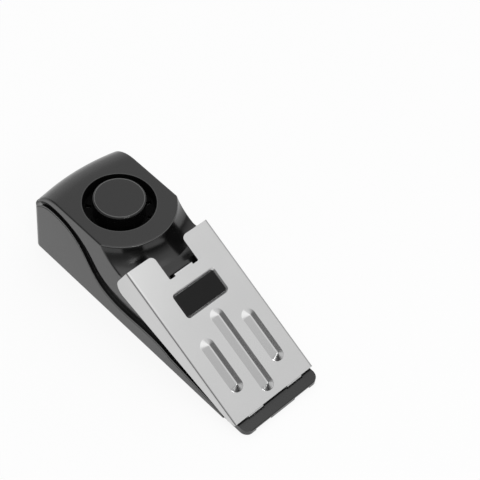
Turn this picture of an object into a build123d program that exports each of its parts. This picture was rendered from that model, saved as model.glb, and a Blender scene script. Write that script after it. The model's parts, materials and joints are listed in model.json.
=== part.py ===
from build123d import *
import math
import os

# Sizes are millimetres. While it is being shaped, the alarm has its heel at x = 0 and its nose
# towards +X, the sensitivity switch on its +Y side and the floor at z = 0. Finished pieces move back
# by half the length, so that the origin is on the floor under the middle of the whole alarm.

# Whole alarm
case_length = 145.0
case_width = 46.0
deck_height = 41.4
pad_proud = 0.4
wall = 2.0
overrun = 1.0

# Clearances
seam = 0.12
running_gap = 0.3
sliding_gap = 0.1
slip_gap = 0.05

# Plan outline of the case
heel_bow = 2.4
heel_corner_radius = 3.6
nose_corner_radius = 4.0
side_step = 0.6
nose_length = 14.0
upper_heel_inset = 0.6

# Siren housing, seen from the side
heel_height = 26.0
heel_slope_deg = 76.0
heel_crown_radius = 16.4
heel_turn_deg = 40.0
deck_edge_radius = 0.9

# Siren well and the round front of the housing
siren_x = 35.3
well_radius = 16.7
well_depth = 7.0
well_rim_bevel = 0.35
well_wall = 1.6
sound_slot_count = 10
sound_slot_width = 1.8
sound_slot_share = 0.62
cove_radius = 13.3
cove_centre_radius = 38.8
cove_centre_rise = 3.6
floor_end_x = 74.0

# Siren cap
cap_radius = 12.0
cap_proud = 3.0
cap_wall = 1.6
cap_edge_radius = 0.9
cap_spigot_radius = 8.6
cap_spigot_wall = 1.2

# Siren element under the well
holder_outer_radius = 15.6
holder_inner_radius = 12.0
holder_height = 5.0
disc_radius = 13.5
disc_thickness = 0.3
disc_seat = 3.0
ceramic_radius = 10.0
ceramic_thickness = 0.25

# Pressure plate: a folded sheet that slopes down to the nose
sheet = 0.7
plate_rear_x = 67.1
plate_rear_z = 40.3
plate_front_z = 4.84
flange_gap = 0.2
fold_radius = 1.4
plate_travel_deg = 2.5
stop_gap = 0.4
ramp_end_gap = 2.6
notch_width = 16.8
notch_depth = 13.0
notch_ear_radius = 2.6
notch_root_radius = 0.6
flange_rear_depth = 17.5
flange_front_depth = 3.4
flange_tip_length = 3.4
flange_tip_depth = 1.0
flange_rear_radius = 5.5

# Window for the badge
badge_length = 11.1
badge_width = 22.9
badge_start = 19.8
badge_corner_radius = 0.9
badge_gap = 0.15
badge_sunk = 1.0
badge_face_drop = 0.65
badge_bevel = 0.9

# Raised ridges pressed into the plate
ridge_width = 7.0
ridge_height = 1.75
ridge_crest_radius = 0.9
ridge_spacing = 12.4
middle_ridge_start = 34.2
middle_ridge_inset = 3.0
side_ridge_start = 42.4
side_ridge_inset = 10.6

# Front tabs that hook under the nose and hinge the plate
tab_width = 8.8
tab_spacing = 23.6
tab_foot_length = 2.6
tab_bend_radius = 0.7
hinge_inset = 5.7
plate_edge_reach = 0.35
hinge_z = 2.7
tab_slot_length = 1.7
channel_length = 7.0
channel_depth = 1.5
channel_width = 9.4
nose_thickness = 3.2
nose_tip_drop = 0.5
nose_edge_radius = 0.5

# Tongue that hooks under the ramp and stops the plate's rise
tongue_width = 10.4
tongue_stand = 1.6
tongue_bend_radius = 0.6
tongue_foot_length = 2.2
tongue_slot_back = 1.9
tongue_slot_front = 0.6
tongue_slot_side = 0.5
hook_gap = 0.2

# S-shaped upper edge of the lower case on the -Y side, as shares of the length and the deck height
parting_shares = [
    (0.000, 0.686),
    (0.026, 0.700),
    (0.066, 0.800),
    (0.131, 0.838),
    (0.207, 0.768),
    (0.266, 0.587),
    (0.321, 0.370),
    (0.378, 0.268),
    (0.470, 0.238),
    (0.662, 0.193),
]
parting_end_reach = 0.5
parting_end_z = 2.6
groove_shares = [
    (0.000, 0.739),
    (0.026, 0.753),
    (0.066, 0.856),
    (0.136, 0.897),
    (0.216, 0.832),
    (0.283, 0.676),
    (0.331, 0.500),
    (0.372, 0.424),
    (0.470, 0.405),
    (0.600, 0.352),
]
groove_end_z = 4.2
groove_depth = 1.1
lip_overlap = 2.0
bead_width = 0.9
bead_score = 0.35
bead_depth = 0.3

# Lower case
lower_wall = 2.5
bottom_thickness = 2.0
inner_floor_z = 2.7
inner_floor_thickness = 1.4
heel_seam_y = 17.6
heel_pad_proud = 0.25

# Battery door and its latch
door_length = 89.6
door_thickness = 1.8
door_rim = 1.5
door_gap = 0.55
door_front_gap = 0.3
door_corner_radius = 3.2
door_line_inset = 1.1
door_line_width = 0.4
door_line_depth = 0.3
door_hook_y = 15.0
door_hook_width = 4.0
door_hook_reach = 0.9
door_hook_swing = 1.1
door_hook_thickness = 1.0
door_rib_height = 0.4
door_rib_width = 1.2
door_rib_spacing = 14.0
latch_width = 8.0
latch_strip = 1.0
latch_height = 6.0
latch_leg_gap = 1.5
latch_tab_length = 5.4
latch_tab_thickness = 1.1
latch_nib = 0.25
latch_bend_radius = 1.2
latch_slot_side = 3.4
latch_slot_front = 0.5
latch_slot_back = 0.6
scoop_radius = 9.7
scoop_reach = 9.15
scoop_depth = 1.9
scoop_wall = 1.5

# Rubber grips
grip_thickness = 1.0
rear_grip_start = 4.9
rear_grip_length = 21.6
rear_grip_width = 39.4
front_grip_gap = 2.5
front_grip_inset = 7.4
front_grip_width = 40.8
grip_corner_radius = 0.6
grip_gap = 0.1

# Battery, standard nine volt block
battery_length = 46.4
battery_width = 26.5
battery_height = 17.5
battery_corner_radius = 1.5
battery_start = 8.2
battery_side_gap = 0.3
stud_spacing = 12.7
stud_radius = 2.8
stud_height = 2.1
socket_floor = 0.7
socket_radius = 3.9
snap_thickness = 3.0
snap_length = 25.0
snap_width = 13.0
snap_gap = 0.2
bay_wall = 1.2
bay_end_room = 7.0

# Circuit board, on edge beside the battery
board_height = 20.0
board_thickness = 1.6
board_start = 8.6
guide_width = 2.4
guide_depth = 4.6
guide_lap = 1.0

# Parts on the board
chip_length = 9.9
chip_width = 3.9
chip_thickness = 1.5
chip_x = 30.0
coil_radius = 3.6
coil_length = 4.6
coil_core_radius = 2.2
coil_flange = 0.9
coil_gap = 1.6
capacitor_radius = 2.0
capacitor_length = 4.4
capacitor_gap = 2.6
resistor_length = 3.4
resistor_width = 1.6
resistor_thickness = 0.6
resistor_count = 5
resistor_pitch = 4.2
part_z_share = 0.5
resistor_z_share = 0.25

# Sensitivity switch on the +Y side
escutcheon_x = 21.0
escutcheon_width = 23.0
escutcheon_straight = 14.0
escutcheon_top = 27.9
escutcheon_sunk = 0.25
escutcheon_gap = 0.45
escutcheon_thickness = 1.5
knob_travel = 4.0
knob_rest_x = 23.2
knob_z = 16.2
knob_width = 3.2
knob_height = 4.4
knob_proud = 1.0
knob_ridges = 4
knob_ridge_depth = 0.3
knob_stem_width = 1.8
knob_stem_height = 1.6
knob_slot_height = 2.4
knob_shoe_length = 5.0
knob_shoe_height = 4.6
knob_shoe_thickness = 0.9
slide_body_length = 8.6
slide_body_height = 4.0
slide_body_depth = 3.4
slide_lever_width = 1.5
slide_lever_height = 1.3
slide_gap = 0.45

# Trigger under the plate
plunger_x = 86.5
plunger_radius = 3.0
plunger_head_length = 2.9
plunger_stem_radius = 1.2
guide_wall = 1.4
spring_seat_drop = 11.0
spring_seat_thickness = 1.2
spring_wire = 0.5
spring_radius = 2.2
spring_turns = 5
spring_wire_sides = 6
spring_gap_samples = 72
trigger_length = 12.8
trigger_width = 5.8
trigger_height = 6.0
button_radius = 1.0
button_proud = 3.8
button_sunk = 0.9
cheek_thickness = 1.4
cheek_height = 3.4

# Screws
screw_radius = 1.3
screw_head_radius = 2.5
screw_head_height = 1.5
screw_length = 9.0
screw_recess = 0.9
screw_slot_width = 0.7
boss_radius = 3.2
boss_hole_depth = 9.0
front_screw_inset = 26.0
front_screw_y = 14.5
rear_screw_x = 71.5
rear_screw_y = 16.0

# Leads inside
lead_radius = 0.6
lead_sides = 8
lead_bend_radius = 0.9
lead_spacing = 3.0
lead_sag = 3.4
siren_lead_x = 39.0
trigger_lead_y = 9.6
trigger_lead_rise = 3.0

# Values worked out from the ones above
case_bottom = pad_proud
lip_face = groove_depth
lower_half = case_width / 2
upper_half = case_width / 2 - side_step
nose_start_x = case_length - nose_length
hinge_x = case_length - hinge_inset
plate_slope = math.atan((plate_rear_z - plate_front_z) / (hinge_x - plate_rear_x))
plate_fall = math.tan(plate_slope)
sheet_drop = sheet / math.cos(plate_slope)
pressed_slope = plate_slope - math.radians(plate_travel_deg)
bottom_top = case_bottom + bottom_thickness
inner_floor_top = inner_floor_z + inner_floor_thickness
door_start = door_rim + door_gap
door_end = door_start + door_length
door_half = lower_half - door_rim - door_gap
door_top = case_bottom + door_thickness
scoop_x = door_end + scoop_reach
front_grip_start = scoop_x + scoop_radius + front_grip_gap
front_grip_length = case_length - front_grip_inset - front_grip_start
front_screw_x = case_length - front_screw_inset
parting_end_x = nose_start_x + parting_end_reach
well_floor_top = deck_height - well_depth
well_floor_bottom = well_floor_top - well_wall
cap_top = deck_height + cap_proud
nose_top = case_bottom + nose_thickness
tab_strap_x = hinge_x - sheet / 2
plate_length = (tab_strap_x + plate_edge_reach - plate_rear_x) / math.cos(plate_slope)
plate_width = case_width + 2 * (flange_gap + sheet)
flange_front_length = plate_length - flange_tip_length
middle_ridge_end = plate_length - middle_ridge_inset
side_ridge_end = plate_length - side_ridge_inset
tab_foot_z = case_bottom + channel_depth / 2 - sheet / 2
battery_bottom = door_top + door_rib_height + slip_gap
battery_top = battery_bottom + battery_height
bay_top = battery_top + battery_side_gap
bay_half = battery_width / 2 + battery_side_gap
battery_y = -(upper_half - wall - seam - bay_wall - bay_half)
bay_start = battery_start - battery_side_gap
bay_end = battery_start + battery_length + bay_end_room
board_length = bay_end - board_start
escutcheon_back = upper_half - escutcheon_sunk - escutcheon_thickness
board_y = (
    escutcheon_back
    - sliding_gap
    - knob_shoe_thickness
    - slide_gap
    - slide_body_depth
    - board_thickness
)
battery_lead_x = battery_start + battery_length + stud_height + snap_gap + snap_thickness / 2
capacitor_x = battery_lead_x - lead_radius - capacitor_gap - capacitor_radius
coil_x = capacitor_x - capacitor_radius - coil_gap - coil_radius
tongue_x = plate_rear_x + (notch_depth - tongue_stand) * math.cos(plate_slope)


def plate_top_z(x):
    """Height of the plate's upper face above the floor at rest."""
    return plate_rear_z - (x - plate_rear_x) * plate_fall


def ramp_z(x):
    """Height of the ramp under the plate: the plate's lower face at its full travel, less a gap."""
    rise = plate_top_z(hinge_x) - sheet_drop - hinge_z
    offset = rise * math.cos(plate_slope)
    pressed_z = hinge_z + offset / math.cos(pressed_slope) + (hinge_x - x) * math.tan(pressed_slope)
    return pressed_z - stop_gap


def block(x_low, x_high, y_low, y_high, z_low, z_high):
    """Rectangular solid between two corners."""
    middle = Pos((x_low + x_high) / 2, (y_low + y_high) / 2, (z_low + z_high) / 2)
    return middle * Box(x_high - x_low, y_high - y_low, z_high - z_low)


def column(x, y, radius, z_low, z_high):
    """Upright round solid."""
    return Pos(x, y, (z_low + z_high) / 2) * Cylinder(radius, z_high - z_low)


def side_prism(edges, y_low, y_high):
    """Solid of a closed outline in the x-z plane, drawn out from y_low to y_high."""
    return Pos(0, y_low, 0) * extrude(make_face(edges), amount=y_high - y_low, dir=(0, 1, 0))


def side_points(*points):
    """Points given as (x, z) on the middle plane of the alarm."""
    return [(x, 0, z) for x, z in points]


def rounded_block(x_low, x_high, y_low, y_high, z_low, z_high, radius):
    """Rectangular solid with rounded upright edges."""
    solid = block(x_low, x_high, y_low, y_high, z_low, z_high)
    return fillet(solid.edges().filter_by(Axis.Z), radius)


def plan_prism(half_width, heel_inset, x_end, corner, z_low, z_high):
    """Upright solid of the case's plan: a bowed heel with rounded corners and straight sides."""
    heel_x = heel_inset + heel_bow
    heel = ThreePointArc((heel_x, -half_width, 0), (heel_inset, 0, 0), (heel_x, half_width, 0))
    rest = Polyline(
        (heel_x, half_width, 0),
        (x_end, half_width, 0),
        (x_end, -half_width, 0),
        (heel_x, -half_width, 0),
    )
    solid = Pos(0, 0, z_low) * extrude(make_face([heel, rest]), amount=z_high - z_low)
    return fillet(solid.edges().filter_by(Axis.Z).sort_by(Axis.X)[:2], corner)


def curve_below(shares, end_z, shift, y_low, y_high):
    """Everything below one of the two S-shaped curves, moved up by shift."""
    points = [(case_length * x, deck_height * z + shift) for x, z in shares]
    curve = Spline(side_points(*points))
    first = (points[0][0], 0, points[0][1])
    last = (points[-1][0], 0, points[-1][1])
    end = (parting_end_x, 0, end_z + shift)
    rest = Polyline(
        last,
        end,
        (parting_end_x, 0, -overrun),
        (-overrun, 0, -overrun),
        (-overrun, 0, points[0][1]),
        first,
    )
    return side_prism([curve, rest], y_low, y_high)


def side_and_heel(shares, end_z, shift, reach):
    """Space of the lower case's side panel and heel wall, under its S-shaped upper edge."""
    side = curve_below(
        shares, end_z, shift, -lower_half - overrun, -(lower_half - lower_wall - seam)
    )
    heel = block(
        -overrun,
        lower_wall + heel_bow + reach,
        -lower_half - overrun,
        heel_seam_y,
        -overrun,
        shares[0][1] * deck_height + shift,
    )
    return side + heel


def heel_crown(inset):
    """Space over the rounded top of the heel, turned about the upright axis of the heel's bow."""
    slope = math.radians(heel_slope_deg)
    radius = heel_crown_radius - inset
    top = deck_height - inset
    fall = heel_crown_radius * (1 - math.cos(slope))
    slope_foot = (deck_height - fall - heel_height) / math.tan(slope)
    centre_x = upper_heel_inset + slope_foot + heel_crown_radius * math.sin(slope)
    axis_x = upper_heel_inset + (upper_half**2 + heel_bow**2) / (2 * heel_bow)
    reach = centre_x - axis_x
    tangent = (reach - radius * math.sin(slope), 0, top - radius * (1 - math.cos(slope)))
    middle = (reach - radius * math.sin(slope / 2), 0, top - radius * (1 - math.cos(slope / 2)))
    out = 2 * wall
    crown = ThreePointArc(tangent, middle, (reach, 0, top))
    rest = Polyline(
        (reach, 0, top),
        (reach, 0, deck_height + overrun),
        (tangent[0] - out, 0, deck_height + overrun),
        (tangent[0] - out, 0, tangent[2] - out * math.tan(slope)),
        tangent,
    )
    turned = revolve(make_face([crown, rest]), axis=Axis.Z, revolution_arc=heel_turn_deg)
    return Pos(axis_x, 0, 0) * Rot(0, 0, -heel_turn_deg / 2) * turned


def housing_form(inset, x_end, y_low, y_high):
    """Solid of the case's top, inset from the outer faces: crown over the heel, deck, floor and ramp."""
    top = deck_height - inset
    heel_x = upper_heel_inset + inset
    floor_z = ramp_z(floor_end_x) - inset
    drop = inset / math.cos(plate_slope)
    outline = Polyline(
        (heel_x, 0, top),
        (floor_end_x, 0, top),
        (floor_end_x, 0, floor_z),
        (x_end, 0, ramp_z(x_end) - drop),
        (x_end, 0, -overrun),
        (heel_x, 0, -overrun),
        (heel_x, 0, top),
    )
    return side_prism([outline], y_low, y_high) - heel_crown(inset)


def cove_reach(z, inset):
    """Distance of the cove's surface from the siren's axis at height z."""
    rise = deck_height + cove_centre_rise - z
    return cove_centre_radius - math.sqrt((cove_radius + inset) ** 2 - rise**2)


def cove(inset):
    """Ring-shaped cut that rounds the front of the housing about the siren's axis."""
    floor_z = ramp_z(floor_end_x) - inset
    top_z = deck_height - inset
    middle_z = (floor_z + top_z) / 2
    arc = ThreePointArc(
        (cove_reach(top_z, inset), 0, top_z),
        (cove_reach(middle_z, inset), 0, middle_z),
        (cove_reach(floor_z, inset), 0, floor_z),
    )
    outer = case_length / 2
    rest = Polyline(
        (cove_reach(floor_z, inset), 0, floor_z),
        (outer, 0, floor_z),
        (outer, 0, deck_height + overrun),
        (cove_reach(top_z, inset), 0, deck_height + overrun),
        (cove_reach(top_z, inset), 0, top_z),
    )
    half_turn = revolve(make_face([arc, rest]), axis=Axis.Z, revolution_arc=180)
    return Pos(siren_x, 0, 0) * Rot(0, 0, -90) * half_turn


def build_upper_case():
    """Housing: deck with the siren well, round cove, ramp under the plate, and the side walls."""
    ramp_end = hinge_x - ramp_end_gap
    outer = housing_form(0, ramp_end, -upper_half, upper_half)
    outer -= cove(0)
    outer &= plan_prism(
        upper_half,
        upper_heel_inset,
        ramp_end,
        heel_corner_radius,
        case_bottom,
        deck_height + overrun,
    )
    outer = fillet(top_side_edges(outer), deck_edge_radius)
    shell = outer - upper_case_cavity(ramp_end)
    # The seat of the siren is a drum that hangs from the deck
    drum_bottom = well_floor_bottom
    shell += column(siren_x, 0, well_radius + well_wall, drum_bottom, deck_height - wall / 2)
    shell -= column(siren_x, 0, well_radius, well_floor_top, deck_height + overrun)
    rim = Cone(well_radius - well_rim_bevel, well_radius + well_rim_bevel, 2 * well_rim_bevel)
    shell -= Pos(siren_x, 0, deck_height) * rim
    shell -= sound_slots()
    shell -= column(siren_x, 0, cap_spigot_radius + seam, drum_bottom - overrun, deck_height)
    # Screw bosses reach down to the floor of the lower case
    inside = housing_form(wall / 2, ramp_end, -upper_half, upper_half)
    inside -= cove(wall / 2)
    for x, y in screw_places():
        foot = boss_foot_z(x)
        shell += column(x, y, boss_radius, foot, deck_height) & inside
        shell -= column(x, y, screw_radius - slip_gap, foot - overrun, foot + boss_hole_depth)
    shell += plunger_guide() & inside
    shell -= plunger_guide_bore()
    shell -= pressed_plate(tray_room())
    # Slot for the tongue of the plate
    slot_half = tongue_width / 2 + tongue_slot_side
    shell -= block(
        tongue_x - tongue_slot_back,
        tongue_x + sheet + tongue_slot_front,
        -slot_half,
        slot_half,
        ramp_z(tongue_x) - 2 * wall,
        deck_height,
    )
    # Parting with the lower case: first the groove, then room for the lip behind it
    shell -= side_and_heel(groove_shares, groove_end_z, 0, overrun)
    shell -= lip_room()
    shell -= block(
        nose_start_x - seam,
        case_length,
        -lower_half,
        lower_half,
        -overrun,
        nose_top + seam,
    )
    shell -= escutcheon_prism(escutcheon_gap, upper_half - wall - overrun, upper_half + overrun)
    shell -= door_plan(door_gap, -overrun, inner_floor_z)
    return shell


def top_side_edges(solid):
    """Edges where the deck, its crown and the heel's slope meet the sides, and the cove's rim."""
    chosen = []
    for edge in solid.edges():
        box = edge.bounding_box()
        high = box.min.Z > heel_height - wall and box.max.X < floor_end_x
        beside = abs((box.min.Y + box.max.Y) / 2) > upper_half - heel_corner_radius
        flat_top = abs(box.min.Z - deck_height) < slip_gap
        lengthwise = box.max.X - box.min.X > slip_gap
        rim = flat_top and box.min.X > siren_x
        if high and ((beside and lengthwise and box.max.X < siren_x + cove_centre_radius) or rim):
            chosen.append(edge)
    return chosen


def upper_case_cavity(ramp_end):
    """Inside of the housing, one wall in from its outer faces and open below."""
    inner_half = upper_half - wall
    inner = housing_form(wall, ramp_end - wall, -inner_half, inner_half)
    inner -= cove(wall)
    return inner & plan_prism(
        inner_half,
        upper_heel_inset + wall,
        ramp_end - wall,
        heel_corner_radius - wall,
        -overrun,
        deck_height,
    )


def lip_room():
    """Inner half of the housing's wall, cut away where the lower case's lip stands behind it."""
    face = lip_face - seam
    room = side_and_heel(groove_shares, groove_end_z, lip_overlap + seam, 2 * wall)
    room &= housing_form(groove_depth - seam, case_length, -upper_half + face, upper_half)
    return room & plan_prism(
        upper_half - face,
        upper_heel_inset + face,
        case_length,
        heel_corner_radius,
        case_bottom + slip_gap,
        deck_height,
    )


def sound_slots():
    """Radial slots through the floor of the well, round the cap."""
    inner = cap_radius + seam
    outer = well_radius - seam
    length = (outer - inner) * sound_slot_share
    middle = (outer + inner) / 2
    slots = None
    for i in range(sound_slot_count):
        turn = Pos(siren_x, 0, 0) * Rot(0, 0, 360 / sound_slot_count * i)
        slot = turn * block(
            middle - length / 2,
            middle + length / 2,
            -sound_slot_width / 2,
            sound_slot_width / 2,
            well_floor_bottom - overrun,
            well_floor_top + overrun,
        )
        slots = slot if slots is None else slots + slot
    return slots


def screw_places():
    """Places of the four screws that hold the two halves of the case."""
    return [
        (front_screw_x, front_screw_y),
        (front_screw_x, -front_screw_y),
        (rear_screw_x, rear_screw_y),
        (rear_screw_x, -rear_screw_y),
    ]


def screw_seat_z(x):
    """Height of the face that a screw head bears on."""
    if x > door_end:
        return case_bottom + pad_recess() + screw_recess + screw_head_height
    return inner_floor_z + slip_gap + screw_head_height


def boss_foot_z(x):
    """Height where a boss of the upper case stands on the lower case."""
    return screw_seat_z(x) + inner_floor_thickness + seam


def pad_recess():
    """Depth of the recess that a rubber grip is glued into."""
    return grip_thickness - pad_proud


def plunger_guide():
    """Tube under the ramp that guides the plunger and seats its spring."""
    bottom = ramp_z(plunger_x) - spring_seat_drop - spring_seat_thickness
    return column(plunger_x, 0, plunger_radius + sliding_gap + guide_wall, bottom, deck_height)


def pressed_plate(solid):
    """Solid drawn in the plate's own frame, moved to its place when the plate is pressed down."""
    hinge = Pos(hinge_x, 0, hinge_z)
    back = Pos(plate_rear_x - hinge_x, 0, plate_rear_z - hinge_z)
    return hinge * Rot(0, -plate_travel_deg, 0) * back * Rot(0, math.degrees(plate_slope), 0) * solid


def tray_room():
    """Shallow pocket of the ramp that the badge's tray goes down into, in the plate's frame."""
    margin = badge_bevel + sheet / 2 + running_gap
    return block(
        badge_start - margin,
        badge_start + badge_length + margin,
        -badge_width / 2 - margin,
        badge_width / 2 + margin,
        -badge_sunk - sheet - stop_gap,
        0,
    )


def plunger_guide_bore():
    """Bore of the guide with a smaller hole for the stem."""
    seat = ramp_z(plunger_x) - spring_seat_drop
    bore = column(plunger_x, 0, plunger_radius + sliding_gap, seat, deck_height)
    hole = column(plunger_x, 0, plunger_stem_radius + sliding_gap, seat - wall, seat + overrun)
    return bore + hole


def escutcheon_prism(margin, y_low, y_high):
    """Arch-shaped solid of the switch plate: straight sides and a half ellipse on top."""
    half = escutcheon_width / 2 + margin
    rise = escutcheon_top + margin - escutcheon_straight
    left = escutcheon_x - half
    right = escutcheon_x + half
    base = case_bottom - margin
    arch = EllipticalCenterArc((escutcheon_x, escutcheon_straight), half, rise, 0, arc_size=180)
    sides = Polyline(
        (left, escutcheon_straight), (left, base), (right, base), (right, escutcheon_straight)
    )
    upright = Rot(90, 0, 0) * make_face([arch, sides])
    return Pos(0, y_low, 0) * extrude(upright, amount=y_high - y_low, dir=(0, 1, 0))


def build_lower_case():
    """Tray: side panel with the S-shaped edge, heel, nose, floors, battery bay and board guides."""
    shell = tray_walls()
    shell += nose()
    shell += lap_lip()
    shell -= bead_line()
    shell += heel_band()
    shell += floors()
    shell += escutcheon_tongue()
    shell -= door_recess()
    shell += battery_bay()
    shell -= battery_bay_cut()
    shell += board_guides()
    shell += trigger_seat()
    shell += scoop_cup()
    shell -= scoop_cut()
    shell -= grip_recess(front_grip_start, front_grip_length, front_grip_width)
    for x, y in screw_places():
        shell += column(x, y, boss_radius, bottom_or_floor_z(x), boss_foot_z(x) - seam)
        shell -= column(x, y, screw_radius + sliding_gap, 0, boss_foot_z(x) + overrun)
        shell -= column(x, y, screw_head_radius + running_gap, 0, screw_seat_z(x))
    return shell


def tray_walls():
    """Side panel and heel wall under the S-shaped edge, and the bottom in front of the door."""
    outer = plan_prism(
        lower_half, heel_pad_proud, nose_start_x + seam, heel_corner_radius, case_bottom, deck_height
    )
    inner = plan_prism(
        lower_half - lower_wall,
        lower_wall,
        nose_start_x + overrun,
        heel_corner_radius - wall,
        0,
        deck_height,
    )
    seam_block = block(
        -overrun, case_length, heel_seam_y - seam, lower_half + overrun, 0, deck_height
    )
    walls = (outer - inner) & side_and_heel(parting_shares, parting_end_z, 0, 0)
    bottom = outer & block(
        door_end, nose_start_x + seam, -lower_half, upper_half - wall - seam, 0, bottom_top
    )
    return walls - seam_block + bottom


def bottom_or_floor_z(x):
    """Lower end of a screw's column: the bottom in front of the door, the floor above it behind."""
    return bottom_top - seam if x > door_end else inner_floor_z


def nose():
    """Thin nose: two channels underneath take the feet of the plate's tabs."""
    tip = nose_top - nose_tip_drop
    outline = Polyline(
        side_points(
            (nose_start_x, case_bottom),
            (nose_start_x, nose_top),
            (hinge_x + tab_slot_length, nose_top),
            (case_length, tip),
            (case_length, case_bottom),
            (nose_start_x, case_bottom),
        )
    )
    solid = side_prism([outline], -upper_half, upper_half)
    front = solid.edges().filter_by(Axis.Y).filter_by_position(Axis.X, case_length, case_length)
    solid = fillet(front, nose_edge_radius)
    corners = rounded_block(
        nose_start_x - 2 * nose_corner_radius,
        case_length,
        -upper_half,
        upper_half,
        0,
        deck_height,
        nose_corner_radius,
    )
    solid &= corners
    for side in (-1, 1):
        y = side * tab_spacing / 2
        solid -= block(
            case_length - channel_length,
            case_length + overrun,
            y - channel_width / 2,
            y + channel_width / 2,
            0,
            case_bottom + channel_depth,
        )
        solid -= block(
            hinge_x - tab_slot_length / 2,
            hinge_x + tab_slot_length / 2,
            y - channel_width / 2,
            y + channel_width / 2,
            0,
            nose_top + overrun,
        )
    return solid


def lap_lip():
    """Thin lip behind the groove, which the upper case laps over."""
    outer = plan_prism(
        upper_half - lip_face,
        upper_heel_inset + lip_face,
        nose_start_x,
        heel_corner_radius,
        inner_floor_z,
        deck_height,
    )
    inner = plan_prism(
        lower_half - lower_wall,
        lower_wall,
        nose_start_x + overrun,
        heel_corner_radius - wall,
        0,
        deck_height,
    )
    under_housing = housing_form(groove_depth, case_length, -upper_half, heel_seam_y - seam)
    lip = (outer - inner) & side_and_heel(groove_shares, groove_end_z, lip_overlap, 0)
    return lip & under_housing


def bead_line():
    """Fine score that leaves a narrow bead along the S-shaped edge."""
    low = -bead_width - bead_score
    far = -lower_half - overrun
    near = -lower_half + bead_depth
    band = curve_below(parting_shares, parting_end_z, -bead_width, far, near)
    return band - curve_below(parting_shares, parting_end_z, low, far - overrun, near + overrun)


def heel_band():
    """Slightly raised middle of the heel wall, with a small step at each end."""
    top = parting_shares[0][1] * deck_height - lip_overlap
    raised = plan_prism(lower_half, 0, nose_start_x, heel_corner_radius, case_bottom, top)
    side = heel_seam_y - lip_overlap
    return raised & block(-overrun, heel_bow, -side, side, case_bottom, top)


def floors():
    """Floor above the battery door, one step higher than the bottom of the nose end."""
    free = plan_prism(
        upper_half - wall - seam,
        upper_heel_inset + wall + seam,
        door_end + wall,
        heel_corner_radius - wall,
        inner_floor_z,
        inner_floor_top,
    )
    joined = plan_prism(
        lower_half - lower_wall + seam,
        lower_wall - seam,
        door_end + wall,
        heel_corner_radius - wall,
        inner_floor_z,
        inner_floor_top,
    )
    near_wall = block(-overrun, case_length, -lower_half, heel_seam_y - seam, 0, deck_height)
    return free + (joined & near_wall)


def door_plan(margin, z_low, z_high):
    """Upright solid of the battery door's plan, with a margin all round."""
    return plan_prism(
        door_half + margin,
        door_start - margin,
        door_end + margin * door_front_gap / door_gap,
        door_corner_radius,
        z_low,
        z_high,
    )


def hook_edge_x():
    """Edge of the bowed door at its hooks."""
    return door_start + heel_bow * (door_hook_y / door_half) ** 2


def door_recess():
    """Recess for the battery door and pockets for its two hooks."""
    cut = door_plan(door_gap, -overrun, inner_floor_z)
    edge = hook_edge_x()
    for side in (-1, 1):
        y = side * door_hook_y
        half = door_hook_width / 2 + running_gap
        cut += block(
            edge - door_hook_reach - running_gap,
            edge + door_hook_reach + wall + door_hook_swing,
            y - half,
            y + half,
            door_top,
            inner_floor_top + overrun,
        )
    return cut


def battery_bay():
    """Box over the battery, open below, which the battery is put in through the door."""
    return block(
        bay_start - bay_wall,
        bay_end + bay_wall,
        battery_y - bay_half - bay_wall,
        battery_y + bay_half + bay_wall,
        inner_floor_z,
        bay_top + bay_wall,
    )


def battery_bay_cut():
    """Space of the battery, its snap and the gap where the leads leave."""
    space = block(
        bay_start, bay_end, battery_y - bay_half, battery_y + bay_half, -overrun, bay_top
    )
    lead_room = lead_radius + running_gap
    middle_z = battery_bottom + battery_height / 2
    lead_gap = block(
        battery_lead_x - lead_room,
        battery_lead_x + lead_room,
        battery_y + bay_half - overrun,
        battery_y + bay_half + bay_wall + overrun,
        middle_z - lead_spacing - lead_room,
        middle_z + lead_spacing + lead_room,
    )
    return space + lead_gap


def board_guides():
    """Two upright posts, each with a slot that holds an end of the circuit board."""
    posts = None
    board_middle = board_y + board_thickness / 2
    for start in (board_start - guide_width + guide_lap, board_start + board_length - guide_lap):
        post = block(
            start,
            start + guide_width,
            board_middle - guide_depth / 2,
            board_middle + guide_depth / 2,
            inner_floor_z,
            inner_floor_top + board_height - guide_lap,
        )
        posts = post if posts is None else posts + post
    slot = block(
        board_start - slip_gap,
        board_start + board_length + slip_gap,
        board_y - slip_gap,
        board_y + board_thickness + slip_gap,
        inner_floor_top,
        deck_height,
    )
    return posts - slot


def trigger_top_z():
    """Height of the top of the trigger switch's body, which stands on the floor."""
    return inner_floor_top + slip_gap + trigger_height


def plunger_travel():
    """Way that the plunger goes down while the plate turns through its whole travel."""
    arm = hinge_x - plunger_x
    rise = plunger_head_z() - hinge_z
    offset = rise * math.cos(plate_slope) - arm * math.sin(plate_slope)
    return rise - (offset + arm * math.sin(pressed_slope)) / math.cos(pressed_slope)


def stem_end_z():
    """Height of the lower end of the plunger's stem at rest, where it meets the switch's button."""
    return trigger_top_z() + button_proud + slip_gap


def plunger_head_z():
    """Height of the centre of the plunger's domed end, which meets the plate's badge tray."""
    under = plate_top_z(plunger_x) - (badge_sunk + sheet) / math.cos(plate_slope)
    return under - plunger_radius / math.cos(plate_slope) - slip_gap


def trigger_seat():
    """Pedestal with two cheeks that hold the trigger switch."""
    half = trigger_length / 2
    side = trigger_width / 2 + slip_gap
    low = trigger_top_z() - trigger_height
    seat = block(
        plunger_x - side - cheek_thickness,
        plunger_x + side + cheek_thickness,
        -half,
        half,
        inner_floor_z,
        low + cheek_height,
    )
    return seat - block(
        plunger_x - side,
        plunger_x + side,
        -half - overrun,
        half + overrun,
        low,
        low + cheek_height + overrun,
    )


def scoop_cup():
    """Raised cup inside that leaves room for the finger scoop below."""
    radius = scoop_radius + scoop_wall
    top = case_bottom + scoop_depth + scoop_wall
    cup = column(scoop_x, 0, radius, bottom_top - seam, top)
    cup += block(door_end, scoop_x, -radius, radius, bottom_top - seam, top)
    return cup


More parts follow.
